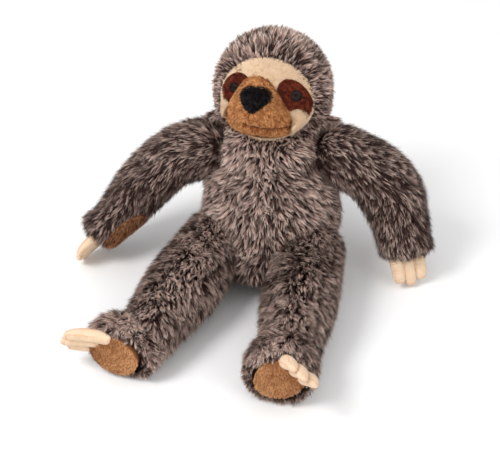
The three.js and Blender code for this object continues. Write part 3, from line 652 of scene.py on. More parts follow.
torso_place = Place(
    turned(ACROSS, math.radians(TORSO.lean)) @ turned(-FORWARD, math.radians(TORSO.tip)), TORSO.hips
)
head_place = Place(
    torso_place.axes @ turned(-FORWARD, math.radians(HEAD.tilt)),
    torso_place.out(UP * (TORSO.length + HEAD.rise)),
)
neck = torso_place.out(UP * TORSO.length)
shoulders, hips = {}, {}
for name, settings in SIDES.items():
    shoulders[name] = torso_place.out(np.array([settings.side * ARM.out, 0, ARM.height]))
    hips[name] = HIP * (settings.side, 1, 1)


def far_from(points, centre, radius):
    """Whether points lie outside a ball."""
    return np.linalg.norm(points - centre, axis=-1) > radius


def within_oval(place, half, points):
    """How far out points lie in an oval ball, as a share of its size."""
    return np.linalg.norm(place.into(points) / np.asarray(half, float), axis=-1)


def add_furred(names, surface, grid, body, slot, nodes, keep, flow, tone, **growth):
    """A stuffed cover, in place of the CAD nodes that it stands for, and the fur that grows on it."""
    add_closed(names[0], drawn_in(surface, SUNK), grid, body, fur_ground, nodes)
    grow(names[1], surface, body, slot, fur, keep, flow, tone, density=2.1, width=0.55, sunk=SUNK, **growth)


def add_pad(names, surface, grid, body, slot, paints, nodes, fill, keep, flow, tone, **growth):
    """A pad of cloth, in place of the CAD nodes that it stands for, and its short pile."""
    ground, pile = paints
    add_closed(names[0], surface, grid, body, ground, nodes)
    grow(names[1], surface, body, slot, pile, keep, flow, tone, segments=1, **growth)


# ------------------------------------------------------------------ torso

torso_form = stuffed_form(
    straight(torso_place.out(UP * 0), neck),
    torso_place.way(ACROSS),
    lambda s: swell(TORSO.half_width, TORSO.chest_width, TORSO.top, s),
    lambda s: swell(TORSO.half_depth, TORSO.chest_depth, TORSO.top, s),
    TORSO.bottom,
    TORSO.top,
    (0.38, 0.34),
)
chin_way = head_place.way([0, -math.cos(CHIN.rise), math.sin(CHIN.rise)])


def torso_surface(u, v):
    """The torso: its stuffed form, drawn out sideways by a bell at the height of the shoulders to
    fill the hollows between head and arms, which fades out to the front, pushed forward between
    the thighs by a bell-shaped lap, and pressed in under the chin by another."""
    points = torso_form(u, v)
    local = torso_place.into(points)
    yoke = YOKE.share * bell((local[..., 2] - YOKE.height) / YOKE.reach)
    yoke = yoke * blend(0, 1, (local[..., 1] - YOKE.fade_from) / YOKE.fade_over)
    points = points + (yoke * local[..., 0])[..., None] * torso_place.way(ACROSS)
    front = np.clip(-points[..., 1] / LAP.fade_over, 0, 1)
    off_middle = ((points[..., 0] - LAP.aside) / LAP.half_width) ** 2
    lap = LAP.depth * bell(off_middle) * bell((points[..., 2] - LAP.height) / LAP.half_height) * front
    away = unit(points - neck)
    press = CHIN.depth * bell(np.arccos(np.clip(away @ chin_way, -1, 1)) / CHIN.half_angle)
    return points + lap[..., None] * FORWARD - press[..., None] * away


def torso_keep(points, normals):
    """All but what the head and the limbs cover."""
    keep = within_oval(head_place, HEAD.half, points) > 0.8
    for name in SIDES:
        keep &= far_from(points, shoulders[name], ARM.root - 5)
        keep &= far_from(points, hips[name], LEG.root - 5)
    return keep


def torso_length(points):
    """Shorter beside the head."""
    return FUR_LENGTH * blend(0.5, 1.0, (within_oval(head_place, HEAD.half, points) - 0.9) / 0.35)


def torso_tone_and_shade(points, traits, own):
    """Mottled, and darker low down between the thighs, where painted shade lies under the belly."""
    return mottled(0.44)(points, traits, own) - blend(0.42, 0.0, (points[:, 2] - 16) / 34)


def torso_flow(points, normals, along):
    """Down, and away from the middle."""
    sideways = np.clip(torso_place.into(points)[:, :1] / 40, -1, 1)
    return -UP + 0.5 * torso_place.way(ACROSS) * sideways


add_furred(("torso_cover", "torso_fur"), torso_surface, (72, 60), "torso", "light_fur",
           ["torso_skin", "torso_filling", "neck_filling"], torso_keep, torso_flow, torso_tone_and_shade,
           length=torso_length, seed=11, parts=2)


# ------------------------------------------------------------------ head


def head_surface(u, v):
    """The head: an oval ball whose sides and back are fuller below its middle. There its rings
    widen from sqrt(1 - z²) towards the cube root of 1 - z³, by a share that fades to the front."""
    turn, climb = 2 * math.pi * u, math.pi * v
    height = -np.cos(climb)
    low = np.clip(-height, 0, 1)
    fuller = np.cbrt(1 - low**3) - np.sqrt(1 - low**2)
    ring = np.sin(climb) + fuller * blend(0, 1, (np.sin(turn) + 0.6) / 0.9)
    local = np.stack([np.cos(turn) * ring, np.sin(turn) * ring, height], -1)
    return head_place.out(local * np.asarray(HEAD.half, float))


def face_share(x, z, more=0.0):
    """How far out a point lies in the face, whose outline is a taller half oval above and a
    lower one below, both larger by so many millimetres."""
    half_height = np.where(z + FACE.drop > 0, FACE.half_height, FACE.low_height) + more
    return np.hypot(x / (FACE.half_width + more), (z + FACE.drop) / half_height)


def past_face(points):
    """How far out points of the head's front lie past the face's outline, as a share of its size.
    Those of its back count as infinitely far."""
    local = head_place.into(points)
    return np.where(local[:, 1] < 0, face_share(local[:, 0], local[:, 2]) - 1, np.inf)


def head_keep(points, normals):
    """All but the face and the neck."""
    return (past_face(points) >= 0) & far_from(points, neck, TORSO.top - 3)


def head_flow(points, normals, along):
    """Away from the middle of the face, and surer near it."""
    local = head_place.into(points)
    away = unit(local - np.array([0, -HEAD.half[1], -FACE.drop])) + np.array([0, 0.3, -0.25])
    return head_place.way(away) * blend(3.0, 1.0, past_face(points) / 0.3)[:, None]


def head_tone_and_shade(points, traits, own):
    """Mottled in smaller patches, with painted shade towards its own left, the side away from the key light,
    and beside the face along the panel's seam."""
    # painted shade in the fur along the face panel's seam
    seam = blend(0.42, 0.0, past_face(points) / 0.28)
    # painted shade on the head's own left, away from the key light
    left = 0.16 * np.clip(head_place.into(points)[:, 0] / 45, 0, 1)
    return mottled(0.53, 0.42, 17.0)(points, traits, own) - seam - left


def head_length(points):
    """Shorter beside the face."""
    return 0.93 * FUR_LENGTH * blend(0.55, 1.0, past_face(points) / 0.3)


add_furred(("head_cover", "head_fur"), head_surface, ROUND_GRID, "head", "light_fur",
           ["head_skin", "head_filling"], head_keep, head_flow, head_tone_and_shade,
           length=head_length, lean=(34, 72), seed=21, parts=2)


# ------------------------------------------------------------------ face


def head_lift(x, z):
    """How far forward the head's oval ball, drawn in by the face's inset, stands over a point."""
    a, b, c = (half - FACE.inset for half in HEAD.half)
    return b * np.sqrt(np.maximum(0.0, 1 - (x / a) ** 2 - (z / c) ** 2))


def oval_outline(middle, half_long, half_short, slant=0.0):
    """An oval turned by a slant: middle + long·cos + short·sin."""

    def outline(turn):
        x, z = half_long * np.cos(turn), half_short * np.sin(turn)
        c, s = math.cos(slant), math.sin(slant)
        return middle[0] + c * x - s * z, middle[1] + s * x + c * z

    return outline


def muzzle_outline(turn):
    """The muzzle's pear, leaning aside: cos, raised to 0.8 and less below, times a width that
    blends from broad below to narrow above by the height's share to the power 0.75, and sin times
    its half-height."""
    high = (1 + np.sin(turn)) / 2
    width = blend(MUZZLE.half_width, MUZZLE.narrow, high**0.75)
    middle, half = (MUZZLE.top - MUZZLE.bottom) / 2, (MUZZLE.top + MUZZLE.bottom) / 2
    around = np.sign(np.cos(turn)) * np.abs(np.cos(turn)) ** (0.6 + 0.2 * high)
    return MUZZLE.aside - MUZZLE.lean * high + around * width, middle + np.sin(turn) * half


MUZZLE_MIDDLE = (MUZZLE.aside - MUZZLE.lean / 2, MUZZLE.peak)


def polar(x, z):
    """The direction and distance of points from the muzzle's middle."""
    x, z = x - MUZZLE_MIDDLE[0], z - MUZZLE_MIDDLE[1]
    return np.arctan2(z, x), np.hypot(x, z)


edge_angle, edge_far = polar(*muzzle_outline(np.linspace(0, 2 * math.pi, 721)))
edge_order = np.argsort(edge_angle)


def from_muzzle(x, z):
    """How far points lie from the muzzle's middle, and how far its outline lies that way, read
    off a fine table."""
    angle, far = polar(x, z)
    return far, np.interp(angle, edge_angle[edge_order], edge_far[edge_order], period=2 * math.pi)


def mouth_height(x):
    """The mouth's line: a shallow parabola, lowest in its middle."""
    middle, half = (MOUTH.left + MOUTH.right) / 2, (MOUTH.right - MOUTH.left) / 2
    return -MOUTH.drop + MOUTH.smile * ((x - middle) / half) ** 2


def off_mouth(points):
    """The height of points over the mouth's line, and infinity beside its ends."""
    local = head_place.into(points)
    beside = (local[:, 0] <= MOUTH.left) | (local[:, 0] >= MOUTH.right)
    return np.where(beside, np.inf, local[:, 2] - mouth_height(local[:, 0]))


def muzzle_lift(x, z):
    """The muzzle's front: the face, an edge, and its crown times the root of 1 - share², drawn in
    by a rounded groove along the mouth that runs out past its ends."""
    far, edge = from_muzzle(x, z)
    share = np.clip(far / edge, 0, 1)
    groove = MOUTH.groove * bell((z - mouth_height(x)) / MOUTH.groove)
    for end in (x - MOUTH.left, MOUTH.right - x):
        groove = groove * np.clip(end / MOUTH.run_out + 1, 0, 1)
    return head_lift(x, z) + MUZZLE.edge + MUZZLE.crown * np.sqrt(1 - share**2) - groove


def face_way(down, away=0):
    """A flow outwards from a point that high on the face's middle line, and down by a share."""

    def flow(points, normals, along):
        local = head_place.into(points) - np.array([0, 0, away])
        local[:, 1] = 0
        return head_place.way(unit(local) + np.array([0, 0, -down]))

    return flow


def face_front(points, normals):
    """The front of a pad only, not its back."""
    return head_place.into(points + normals)[:, 1] < head_place.into(points)[:, 1]


def face_edge(x, z):
    """One over the face, and rounded off to nothing at the panel's edge."""
    return np.clip(1 - np.clip(face_share(x, z, 1.0), 0, 1) ** 12, 0, 1) ** 0.4


def cheeks(x, z):
    """Two puffed cheeks, each a bell."""
    aside = (np.abs(x - CHEEKS.middle) - CHEEKS.out) / CHEEKS.half_width
    return CHEEKS.height * bell(aside) * bell((z + CHEEKS.drop) / CHEEKS.half_height) * face_edge(x, z)


def panel_lift(x, z):
    """The face panel's front without its cheeks: the head drawn in, with a puffed ridge along
    the chin, clear of the muzzle, that is a bell across the panel's edge and fades out upwards."""
    ridge = blend(0.0, 16.0, (-5 - z) / 20) * bell((face_share(x, z, 1.0) - 0.9) / 0.14)
    far, edge = from_muzzle(x, z)
    return head_lift(x, z) + ridge * blend(0.0, 1.0, (far - edge) / 2.5 + 0.4) * face_edge(x, z)


def face_outline(turn):
    """The face's outline with 1 mm more all round: half-width·cos, and sin times each half's height."""
    height = np.where(np.sin(turn) > 0, FACE.half_height, FACE.low_height) + 1
    return (FACE.half_width + 1) * np.cos(turn), height * np.sin(turn) - FACE.drop


def panel_tone_and_shade(points, traits, own):
    """Painted shade towards its own left, the side away from the key light, so that it is lighter towards its
    own right.
    """
    # painted shade on the panel's own left, away from the key light
    left = 0.25 * np.clip(head_place.into(points)[:, 0] / 40, -0.3, 1)
    return mottled(0.75, 0.15, 9, 4, 0, 0.3)(points, traits, own) - left


def patch_share(x, z, side):
    """How far out a point of the face lies in an eye patch's slanting oval."""
    c, s = math.cos(PATCH.slant), -side * math.sin(PATCH.slant)
    x, z = x - side * PATCH.out, z + PATCH.drop[side]
    return np.hypot((c * x + s * z) / PATCH.half_long[side], (c * z - s * x) / PATCH.half_short)


def panel_keep(points, normals):
    """The front of the panel, but for what the muzzle and the eye patches cover."""
    local = head_place.into(points)
    x, z = local[:, 0], local[:, 2]
    far, edge = from_muzzle(x, z)
    on_patch = (np.minimum(patch_share(x, z, 1), patch_share(x, z, -1)) < 1) & (cheeks(x, z) < 1)
    return face_front(points, normals) & (far >= edge - 1) & ~on_patch & (face_share(x, z) < 0.985)


def muzzle_shape(u, v):
    """The muzzle as a closed pad: its back follows the face and its front the muzzle's lift."""
    x, z = muzzle_outline(2 * math.pi * u)
    share = np.sqrt(np.clip(1 - (2 * v - 1) ** 2, 0, 1))
    x, z = (middle + (at - middle) * share for at, middle in zip((x, z), MUZZLE_MIDDLE))
    height = np.where(v > 0.5, muzzle_lift(x, z), head_lift(x, z) - 1.0)
    return head_place.out(np.stack([x, -height, z], -1))


def muzzle_tone_and_shade(points, traits, own):
    """Painted shade along the groove of the mouth."""
    return mottled(0.5, 0.3, 4, 6, 0.9, 0.5)(points, traits, own) - 0.5 * bell(off_mouth(points) / 2.0)


def muzzle_keep(points, normals):
    """The front of the muzzle, but for a line along the mouth."""
    return face_front(points, normals) & (np.abs(off_mouth(points)) >= 0.7)


def nose_outline(turn):
    """The nose: a squared half oval above, and below it sides that run in to a blunt point."""
    high = np.sin(turn)
    low = np.maximum(0, -high)
    width = NOSE.half_width * (1 - 0.5 * low) * np.abs(np.cos(turn)) ** (0.72 + 0.4 * low)
    height = high * np.where(high > 0, NOSE.above, NOSE.below)
    return NOSE.aside + np.sign(np.cos(turn)) * width - 2.0 * low, NOSE.rise + height


def within_face(x, z):
    """Points past the face's outline brought back to 1 mm inside it, towards the face's middle."""
    out = np.maximum(face_share(x, z, -1.0), 1)
    return x / out, (z + FACE.drop) / out - FACE.drop


panel_surface = laid_pad(head_place, face_outline, (0.0, -FACE.drop),
                         lambda x, z: panel_lift(x, z) + cheeks(x, z), 2.5, lambda share: 0 * share)
add_pad(("face_panel_cloth", "face_panel_pile"), panel_surface, (96, 96), "head", "cream_cloth",
        (cream_ground, cream_pile), ["face_panel"], None, panel_keep, face_way(0.4), panel_tone_and_shade,
        density=2.6, length=1.9, width=0.5, lean=(35, 60), tuft=3.0, gather=0.2, stray=0.5, seed=31)
add_pad(("muzzle_pad", "muzzle_pile"), muzzle_shape, (96, 96), "head", "tan_cloth",
        (tan_ground, tan_pile), ["muzzle"], 0.9, muzzle_keep, face_way(0.7), muzzle_tone_and_shade,
        density=4.0, length=2.3, width=0.42, lean=(32, 64), tuft=1.6, gather=0.5, seed=41)
nose_surface = laid_pad(head_place, nose_outline, (NOSE.aside, NOSE.rise), muzzle_lift, 1.0,
                        lambda share: NOSE.edge + NOSE.crown * np.sqrt(1 - share**2))
add_pad(("nose_pad", "nose_pile"), nose_surface, (48, 48), "head", "black_thread",
        (black_ground, black_pile), ["nose"], 0.6, face_front, face_way(1.6, 8), mottled(0.45, 0.3, 5.0),
        density=6.0, length=2.2, width=0.5, lean=(34, 70), tuft=2.4, gather=0.5, stray=0.5, seed=51)

for name, settings in SIDES.items():
    side = settings.side
    middle = (side * PATCH.out, -PATCH.drop[side])
    outline = oval_outline(middle, PATCH.half_long[side], PATCH.half_short, -side * PATCH.slant)
    patch_surface = laid_pad(head_place, outline, middle, panel_lift, 0.5,
                             lambda share: PATCH.thick - PATCH.round_off * share**6, within_face)
    add_pad((f"eye_patch_cloth_{name}", f"eye_patch_pile_{name}"), patch_surface, (48, 32), "head",
            "patch_cloth", (patch_ground, patch_pile), [f"eye_patch_{name}"], None, face_front,
            face_way(0.5, 20), mottled(0.45, 0.2, 8.0), density=3.0, length=1.5, width=0.5, lean=(40, 65),
            tuft=2.5, gather=0.2, seed=61 + side)
    middle = (side * EYE.out, EYE.rise[side])
    eye_surface = laid_pad(head_place, oval_outline(middle, EYE.radius, EYE.radius), middle, head_lift, -0.8,
                           lambda share: EYE.edge + EYE.crown * np.sqrt(1 - share**2))
    add_pad((f"eye_disc_{name}", f"eye_pile_{name}"), eye_surface, (32, 24), "head", "charcoal_thread",
            (charcoal_ground, charcoal_pile), [f"eye_{name}"], None, face_front, downwards,
            mottled(0.5, 0.2, 3.0), density=6.0, length=1.0, width=0.4, lean=(40, 65), tuft=2.0, gather=0.3,
            stray=1.5, seed=71 + side)


def thread_along(points, radius):
    """A round thread carried along a row of points, closed at both ends."""
    sides = 8
    along = unit(np.gradient(points, axis=0))
    beside = unit(np.cross(along, FORWARD))
    over = np.cross(beside, along)
    turn = 2 * math.pi * np.arange(sides) / sides
    ring = beside[:, None] * np.cos(turn)[None, :, None] + over[:, None] * np.sin(turn)[None, :, None]
    ends = [np.arange(sides)[None], (len(points) - 1) * sides + np.arange(sides)[::-1][None]]
    faces = [tube(len(points), sides)[:, [0, 3, 2, 1]], *ends]
    return (points[:, None] + radius * ring).reshape(-1, 3), faces


mouth_x = np.linspace(MOUTH.left, MOUTH.right, 60)
mouth_z = mouth_height(mouth_x)
mouth_lift = muzzle_lift(mouth_x, mouth_z) + MOUTH.proud
mouth_points = head_place.out(np.stack([mouth_x, -mouth_lift, mouth_z], -1))
add_piece("mouth_thread", mesh_of("mouth_thread", *thread_along(mouth_points, MOUTH.thread)), "head",
          brown_thread, ["mouth_stitch"])


# ------------------------------------------------------------------ claws

CLAW_BEND = math.radians(30)


def framed(at, reach, row):
    """A place whose Z axis reaches along a direction and whose X axis lies along a row."""
    through = unit(np.cross(reach, row))
    return Place(np.stack([np.cross(through, reach), through, reach], -1), at)


def claw_sheet(place, sizes):
    """A set of claws as one sewn pad of three lobes, each a part of x across.

    t is the way from the lobe's middle line as a share of its half width, and length(x) is its
    own plus tip·sqrt(1 - t²), which scallops the edge. Along it, arc length goes from behind the
    root to length(x) on a circle that turns by 30 degrees in all. The two faces stand off it by
    depth · sqrt(1 - t²) · a groove along each channel · the roots of 1 - v^5 and 1 - (1 - v)^8,
    and are drawn into small folds along their edges. Gives the surface and a flat map of it."""
    wide = sizes.pitch + sizes.half

    def measured(u, v):
        x = wide * np.cos(2 * math.pi * u)
        lobe = np.clip(np.round(x / sizes.pitch), -1, 1)
        t = np.clip((x - lobe * sizes.pitch) / sizes.half, -1, 1)
        length = sizes.length * np.where(lobe == 0, 1, 0.88) + sizes.tip * np.sqrt(1 - t**2)
        return x, t, -sizes.depth + v * (length + sizes.depth), length

    def surface(u, v):
        x, t, far, length = measured(u, v)
        off_channel = np.abs(x) - sizes.pitch / 2
        channel = bell(off_channel / 0.9) * blend(0, 1, (v - 0.3) / 0.15)
        round_off = np.sqrt((1 - v**5) * (1 - (1 - v) ** 8))
        to_edge = np.minimum((1 - v) * length, wide - np.abs(x))
        folds = 1 + 0.16 * bell(to_edge / 3.5) * np.cos(2 * math.pi * far / 2.4) * (v > 0.3)
        folds = folds * (1 + 0.1 * np.cos(2 * math.pi * far / 2.6) * bell(off_channel / 2.2))
        height = sizes.depth * np.sqrt(1 - t**2) * (1 - 0.35 * channel) * round_off * folds
        height = np.sign(np.sin(2 * math.pi * u)) * height
        turn = CLAW_BEND * np.clip(far, 0, None) / sizes.length
        radius = sizes.length / CLAW_BEND
        y = -radius * (1 - np.cos(turn)) + height * np.cos(turn)
        z = radius * np.sin(turn) + np.minimum(far, 0) + height * np.sin(turn)
        return place.out(np.stack([x * (1 - 0.06 * v), y, z], -1))

    def flat(u, v):
        x, _, far, _ = measured(u, v)
        return np.stack([x, far], -1)

    return surface, flat


def sheet_grid(around, along):
    """Places and faces of a surface whose two faces meet in a line at each end: the ring's
    points at u and 1 - u are one there."""
    u, v = np.meshgrid(np.arange(around) / around, np.arange(along + 1) / along)
    index = np.arange((along + 1) * around).reshape(along + 1, around)
    mirror = (around - np.arange(around)) % around
    for end in (0, along):
        index[end] = np.where(np.arange(around) > around // 2, index[end][mirror], index[end])
    used, compact = np.unique(index, return_inverse=True)
    compact = compact.reshape(index.shape)
    after = np.roll(compact, -1, axis=1)
    quads = np.stack([compact[:-1], after[:-1], after[1:], compact[1:]], -1).reshape(-1, 4)
    return u.ravel()[used], v.ravel()[used], quads


def stitches(path, pitch, length, radius, lift):
    """Short threads laid end to end along a path of points and normals: a spindle with four
    rings of five points for each, lifted off the cloth in its middle."""
    points, normals = path
    rings, sides = 4, 5
    far = np.concatenate([[0], np.cumsum(np.linalg.norm(np.diff(points, axis=0), axis=1))])
    starts = np.arange(0, far[-1] - length, pitch)
    where = starts[:, None] + np.array([0.0, 0.25, 0.75, 1.0]) * length

    def read(values):
        return np.stack([np.interp(where, far, values[:, i]) for i in range(3)], -1)

    centre, over = read(points), unit(read(normals))
    centre = centre + over * (lift * np.array([-0.6, 1, 1, -0.6]))[None, :, None]
    along = unit(centre[:, -1:] - centre[:, :1])
    beside = unit(np.cross(along, over))
    turn = 2 * math.pi * np.arange(sides) / sides
    ring = beside[:, :, None] * np.cos(turn)[:, None] + over[:, :, None] * np.sin(turn)[:, None]
    skin = centre[:, :, None] + ring * (np.array([0.35, 1.0, 1.0, 0.35]) * radius)[None, :, None, None]
    ends = np.array([np.arange(sides)[::-1], (rings - 1) * sides + np.arange(sides)])
    base = np.arange(len(starts))[:, None, None] * rings * sides
    sets = [(base + faces).reshape(-1, faces.shape[1]) for faces in (tube(rings, sides), ends)]
    return skin.reshape(-1, 3), sets


def joined(parts):
    """Several sets of points and faces as one."""
    points, faces, start = [], [], 0
    for some, sets in parts:
        points.append(some)
        faces += [each + start for each in sets]
        start += len(some)
    return np.concatenate(points), faces


def on_claws(surface, u, v, over=0.1):
    """A path laid on a surface, with its normals."""
    u, v = np.broadcast_arrays(u, v)
    normals = outward(surface, u, v)[0]
    return surface(u, v) + normals * over, normals


def add_claws(name, place, sizes, body):
    """A set of claws, the stitches along its edge and channels, and the ties where these end."""
    surface, flat = claw_sheet(place, sizes)
    u, v, quads = sheet_grid(176, 72)
    mesh = mesh_of(f"{name}_pad", surface(u, v), [quads])
    layer = mesh.uv_layers.new(name="Weave")
    layer.uv.foreach_set("vector", flat(u, v)[quads.ravel()].astype(np.float32).ravel())
    add_piece(f"{name}_pad", mesh, body, claw_cloth, [name])
    wide = sizes.pitch + sizes.half
    edge, channel = (math.acos(x / wide) / 2 / math.pi for x in (wide - 1.3, sizes.pitch / 2))
    up_way, over_way = np.linspace(0.35, 0.95, 40), np.linspace(edge, 0.5 - edge, 90)
    hem_u = np.concatenate([np.full(40, edge), over_way, np.full(40, 0.5 - edge)])
    hem_v = np.concatenate([up_way, np.full(90, 0.955), up_way[::-1]])
    threads, ties = [], []
    for face in (1, -1):
        threads.append(stitches(on_claws(surface, face * hem_u % 1, hem_v), 2.2, 1.6, 0.22, 0.08))
        for at in (face * channel % 1, face * (0.5 - channel) % 1):
            seam = on_claws(surface, at, np.linspace(0.35, 0.86, 40))
            seam_end = on_claws(surface, at, np.linspace(0.8, 0.93, 14), 0.3)
            threads.append(stitches(seam, 2.4, 1.6, 0.2, 0.06))
            ties.append(stitches(seam_end, 2.3, 2.0, 0.42, 0.25))
    for kind, parts, thread in (("stitches", threads, orange_thread), ("ties", ties, white_thread)):
        title = f"{name}_{kind}"
        add_piece(title, mesh_of(title, *joined(parts)), body, thread)


def at_claws(points, place, sizes):
    """Whether points lie where a set of claws comes out."""
    x, y, z = place.into(points).T
    return (np.abs(x) < sizes.pitch + sizes.half) & (np.abs(y) < sizes.depth) & (z > 0)


# ------------------------------------------------------------------ limbs

SOLE_PILE = dict(density=4.0, length=2.3, width=0.45, lean=(32, 65), tuft=1.8, gather=0.45)


def in_torso(points, half_width, half_depth):
    """Whether points lie deep in the torso."""
    return within_oval(torso_place, (half_width, half_depth, 400), points) < 0.72


def add_arm(name, side, settings):
    """An arm from its shoulder to its hand, with its claws and its palm pad."""
    leave, arrive = direction(side, *settings.leave), direction(side, *settings.claws)
    shoulder = shoulders[name]
    hand = shoulder + direction(side, *settings.hand) * settings.reach
    row = turned(arrive, math.radians(settings.hand_roll)) @ unit(np.cross(UP, arrive))
    palm_way = np.cross(row, arrive)
    arm_surface = stuffed_form(
        curved([shoulder, shoulder + leave * ARM.bend, hand - arrive * ARM.bend + settings.bow, hand]),
        row,
        lambda s: swell(ARM.root, settings.round, settings.cuff, s),
        lambda s: swell(ARM.root, settings.round, ARM.end_depth, s),
        ARM.root,
        ARM.cap,
        (0.22, 0.14),
    )
    claw_root = hand + arrive * (ARM.cap - HAND_CLAWS.sunk) + palm_way * HAND_CLAWS.palmward
    hand_place = framed(claw_root, arrive, row)
    palm_place = Place(np.stack([row, arrive, palm_way], -1), hand - PALM.back * arrive)

    def on_palm(points):
        """On the palm pad, or between it and the claws."""
        x, y, z = palm_place.into(points).T
        return (np.hypot(x / PALM.half_width, np.minimum(y, 0) / PALM.half_length) < 1) & (z > 0)

    def arm_keep(points, normals):
        covered = on_palm(points) | at_claws(points, hand_place, HAND_CLAWS)
        return ~covered & ~in_torso(points, TORSO.chest_width, TORSO.chest_depth)

    def palm_surface(u, v):
        """The palm pad: an oval of the arm's own form on its palm side, with its front a little
        proud of it and its back sunk into it."""
        share = 1 - np.abs(2 * v - 1)
        on_u = 0.75 + settings.palm_turn + PALM.round_share * np.cos(2 * math.pi * u) * share
        on_v = PALM.middle_share + PALM.long_share * np.sin(2 * math.pi * u) * share
        lift = np.where(v > 0.5, PALM.proud, -PALM.sunk)
        return arm_surface(on_u, on_v) + outward(arm_surface, on_u, on_v)[0] * lift[..., None]

    body = f"{name}_arm"
    add_furred((f"arm_cover_{name}", f"arm_fur_{name}"), arm_surface, ROUND_GRID, body, "dark_fur",
               [f"arm_skin_{name}", f"arm_filling_{name}", f"shoulder_filling_{name}"], arm_keep,
               lambda p, n, along: along - 0.35 * UP, mottled(0.11), length=FUR_LENGTH, seed=81 + side)
    add_claws(f"hand_claws_{name}", hand_place, HAND_CLAWS, f"{name}_hand_claws")
    add_pad((f"palm_cloth_{name}", f"palm_pile_{name}"), palm_surface, (40, 24), body, "sole_cloth",
            (sole_ground, sole_pile), [f"palm_pad_{name}"], None,
            lambda p, n: palm_place.ways_in(n)[:, 2] > 0, lambda p, n, along: arrive + 0 * p,
            mottled(0.45, 0.3, 8.0), stray=0.5, seed=121 + side, **SOLE_PILE)


def add_leg(name, side, settings):
    """A leg straight from its hip to its ankle, and its foot."""
    hip = hips[name]
    fall = HIP[2] - LEG.end + FLOOR_CUT
    ankle = hip + direction(side, settings.leg, 0) * math.sqrt(LEG.length ** 2 - fall**2) - UP * fall
    leg_surface = stuffed_form(
        straight(hip, ankle),
        ACROSS,
        lambda s: swell(LEG.root, LEG.middle, LEG.end, s),
        lambda s: swell(LEG.root, LEG.middle, LEG.end, s),
        LEG.root,
        LEG.end,
        (0.22, 0.2),
    )
    way_out = direction(side, *settings.foot)
    beside = unit(np.cross(way_out, UP))
    toes = turned(way_out, -side * math.radians(settings.foot_roll)) @ np.cross(beside, way_out)
    foot_axes = np.stack([unit(np.cross(toes, way_out)), -way_out, toes], -1)
    foot_at = ankle + direction(side, settings.foot_from, 0) * FOOT.reach
    foot_at[2] = np.linalg.norm(foot_axes[2] * FOOT.half) - FLOOR_CUT
    foot_place = Place(foot_axes, foot_at)

    def leg_keep(points, normals):
        deep = in_torso(points, TORSO.half_width, TORSO.half_depth)
        return ~deep & (within_oval(foot_place, FOOT.half, points) > 0.75)

    add_furred((f"leg_cover_{name}", f"leg_fur_{name}"), leg_surface, ROUND_GRID, f"{name}_leg", "dark_fur",
               [f"leg_skin_{name}", f"leg_filling_{name}", f"hip_filling_{name}"], leg_keep,
               lambda p, n, along: 0.6 * along - 0.9 * UP, mottled(0.36), length=FUR_LENGTH, seed=91 + side)
    add_foot(name, side, settings, foot_place, ankle)


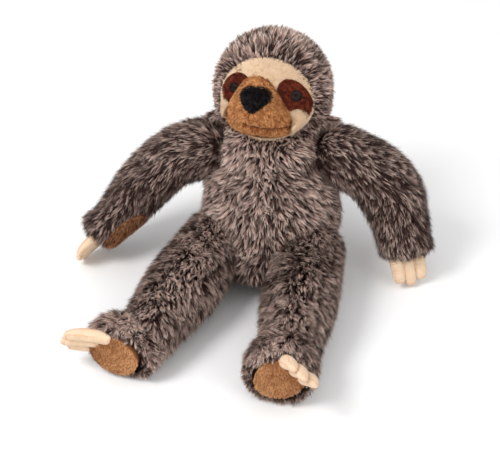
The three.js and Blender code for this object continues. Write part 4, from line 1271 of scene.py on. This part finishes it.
def add_foot(name, side, settings, foot_place, ankle):
    """A foot with its claws and its sole pad, which are on its own -Y side."""
    foot_by = foot_place.ways_in(settings.foot_by)
    sole_place = Place(foot_place.axes, foot_place.out(foot_place.ways_in(settings.sole_by) * (1, 0, 1)))
    toe_way = direction(1, *settings.toes)
    toe_row = turned(toe_way, math.radians(settings.toe_twist)) @ ACROSS
    toe_local = framed(np.array([0, -TOE_CLAWS.ahead, TOE_CLAWS.rise]), toe_way, toe_row)
    toe_place = Place(foot_place.axes @ toe_local.axes, foot_place.out(toe_local.at))

    def foot_surface(u, v):
        """The foot: an oval ball (a·cos2πu·sinπv, b·sin2πu·sinπv, -c·cosπv), moved by a few
        millimetres and cut flat at the sole."""
        turn, climb = 2 * math.pi * u, math.pi * v
        ball = np.stack([np.cos(turn) * np.sin(climb), np.sin(turn) * np.sin(climb), -np.cos(climb)], -1)
        points = ball * np.asarray(settings.foot_half, float) + foot_by
        points[..., 1] = np.maximum(points[..., 1], -FOOT.sole)
        return foot_place.out(points)

    def foot_keep(points, normals):
        x, _, z = sole_place.into(points).T
        on_sole = np.hypot(x / SOLE.half_width, z / SOLE.half_height) < 1
        at_sole = (foot_place.into(points)[:, 1] < -FOOT.sole + 0.5) & on_sole
        return ~at_sole & ~at_claws(points, toe_place, TOE_CLAWS) & far_from(points, ankle, LEG.end - 4)

    def foot_flow(points, normals, along):
        """Outwards from the foot's middle, ahead and down."""
        return -0.3 * foot_place.axes[:, 1] + unit(points - foot_place.at) - 0.6 * UP

    def foot_length(points):
        """Shorter on the flat face about the sole."""
        return FUR_LENGTH * blend(0.6, 1.0, (foot_place.into(points)[:, 1] + FOOT.sole) / 8)

    def sole_tone_and_shade(points, traits, own):
        """Lighter towards its lower end, with painted shade towards its top under the toe claws."""
        return mottled(0.55, 0.3, 7, 8, 0.5, 0.5)(points, traits, own) - 0.012 * foot_place.into(points)[:, 2]

    body = f"{name}_foot"
    add_furred((f"foot_cover_{name}", f"foot_fur_{name}"), foot_surface, ROUND_GRID, body, "dark_fur",
               [f"foot_skin_{name}", f"foot_filling_{name}"], foot_keep, foot_flow, mottled(0.5),
               length=foot_length, lean=(42, 78), gather=0.45, seed=101 + side)
    add_claws(f"toe_claws_{name}", toe_place, TOE_CLAWS, f"{name}_toe_claws")
    sole_surface = laid_pad(
        sole_place, oval_outline((0, 0), SOLE.half_width, SOLE.half_height), (0, 0),
        lambda x, z: FOOT.sole, SOLE.back, lambda share: SOLE.edge + SOLE.crown * np.sqrt(1 - share**2),
    )
    add_pad((f"sole_cloth_{name}", f"sole_pile_{name}"), sole_surface, (40, 32), body, "sole_cloth",
            (sole_ground, sole_pile), [f"sole_pad_{name}"], 0.6,
            lambda p, n: foot_place.ways_in(n)[:, 1] < -0.3, downwards, sole_tone_and_shade,
            stray=0.6, seed=111 + side, **SOLE_PILE)


for name, settings in SIDES.items():
    add_arm(name, settings.side, settings)
    add_leg(name, settings.side, settings)


# ------------------------------------------------------------------ camera, light and floor

floor_mesh = bpy.data.meshes.new("floor")
floor_mesh.from_pydata([(-4, -4, 0), (4, -4, 0), (4, 4, 0), (-4, 4, 0)], [], [(0, 1, 2, 3)])
floor = bpy.data.objects.new("floor", floor_mesh)
bpy.context.scene.collection.objects.link(floor)
floor_paint = Paint("floor_white")
floor_paint.shader.inputs["Base Color"].default_value = rgb(246, 246, 246)
floor_mesh.materials.append(floor_paint.material)

world = bpy.data.worlds.new("studio")
world.use_nodes = True
sky = world.node_tree.nodes["Background"]
sky.inputs["Color"].default_value = (1.0, 1.0, 1.0, 1.0)
sky.inputs["Strength"].default_value = 0.82
bpy.context.scene.world = world


def add_lamp(name, at, aim, size, power):
    """A round lamp that shines on a point. Places and its diameter are in metres."""
    lamp = bpy.data.lights.new(name, "AREA")
    lamp.shape, lamp.size, lamp.energy = "DISK", size, power
    holder = bpy.data.objects.new(name, lamp)
    holder.location = at
    holder.rotation_euler = (Vector(aim) - Vector(at)).to_track_quat("-Z", "Y").to_euler()
    bpy.context.scene.collection.objects.link(holder)


add_lamp("key_light", (-0.9, -0.9, 1.5), (0, 0, 0.08), 0.8, 19.5)
add_lamp("fill_light", (1.2, -1.0, 0.9), (0, 0, 0.08), 1.0, 6)

# The camera's lens, place and aim, in metres, are those at which the toy covers the photograph's.
camera_data = bpy.data.cameras.new("camera")
camera_data.lens, camera_data.sensor_width = 104, 36
camera_data.clip_start = 0.05
camera = bpy.data.objects.new("camera", camera_data)
camera.location = (0.2024, -1.0416, 0.7763)
aim = Vector((-0.0190, 0.0001, 0.0306)) - camera.location
camera.rotation_euler = aim.to_track_quat("-Z", "Y").to_euler()
bpy.context.scene.collection.objects.link(camera)
bpy.context.scene.camera = camera
bpy.context.scene.view_settings.view_transform = "Standard"

bpy.context.view_layer.update()
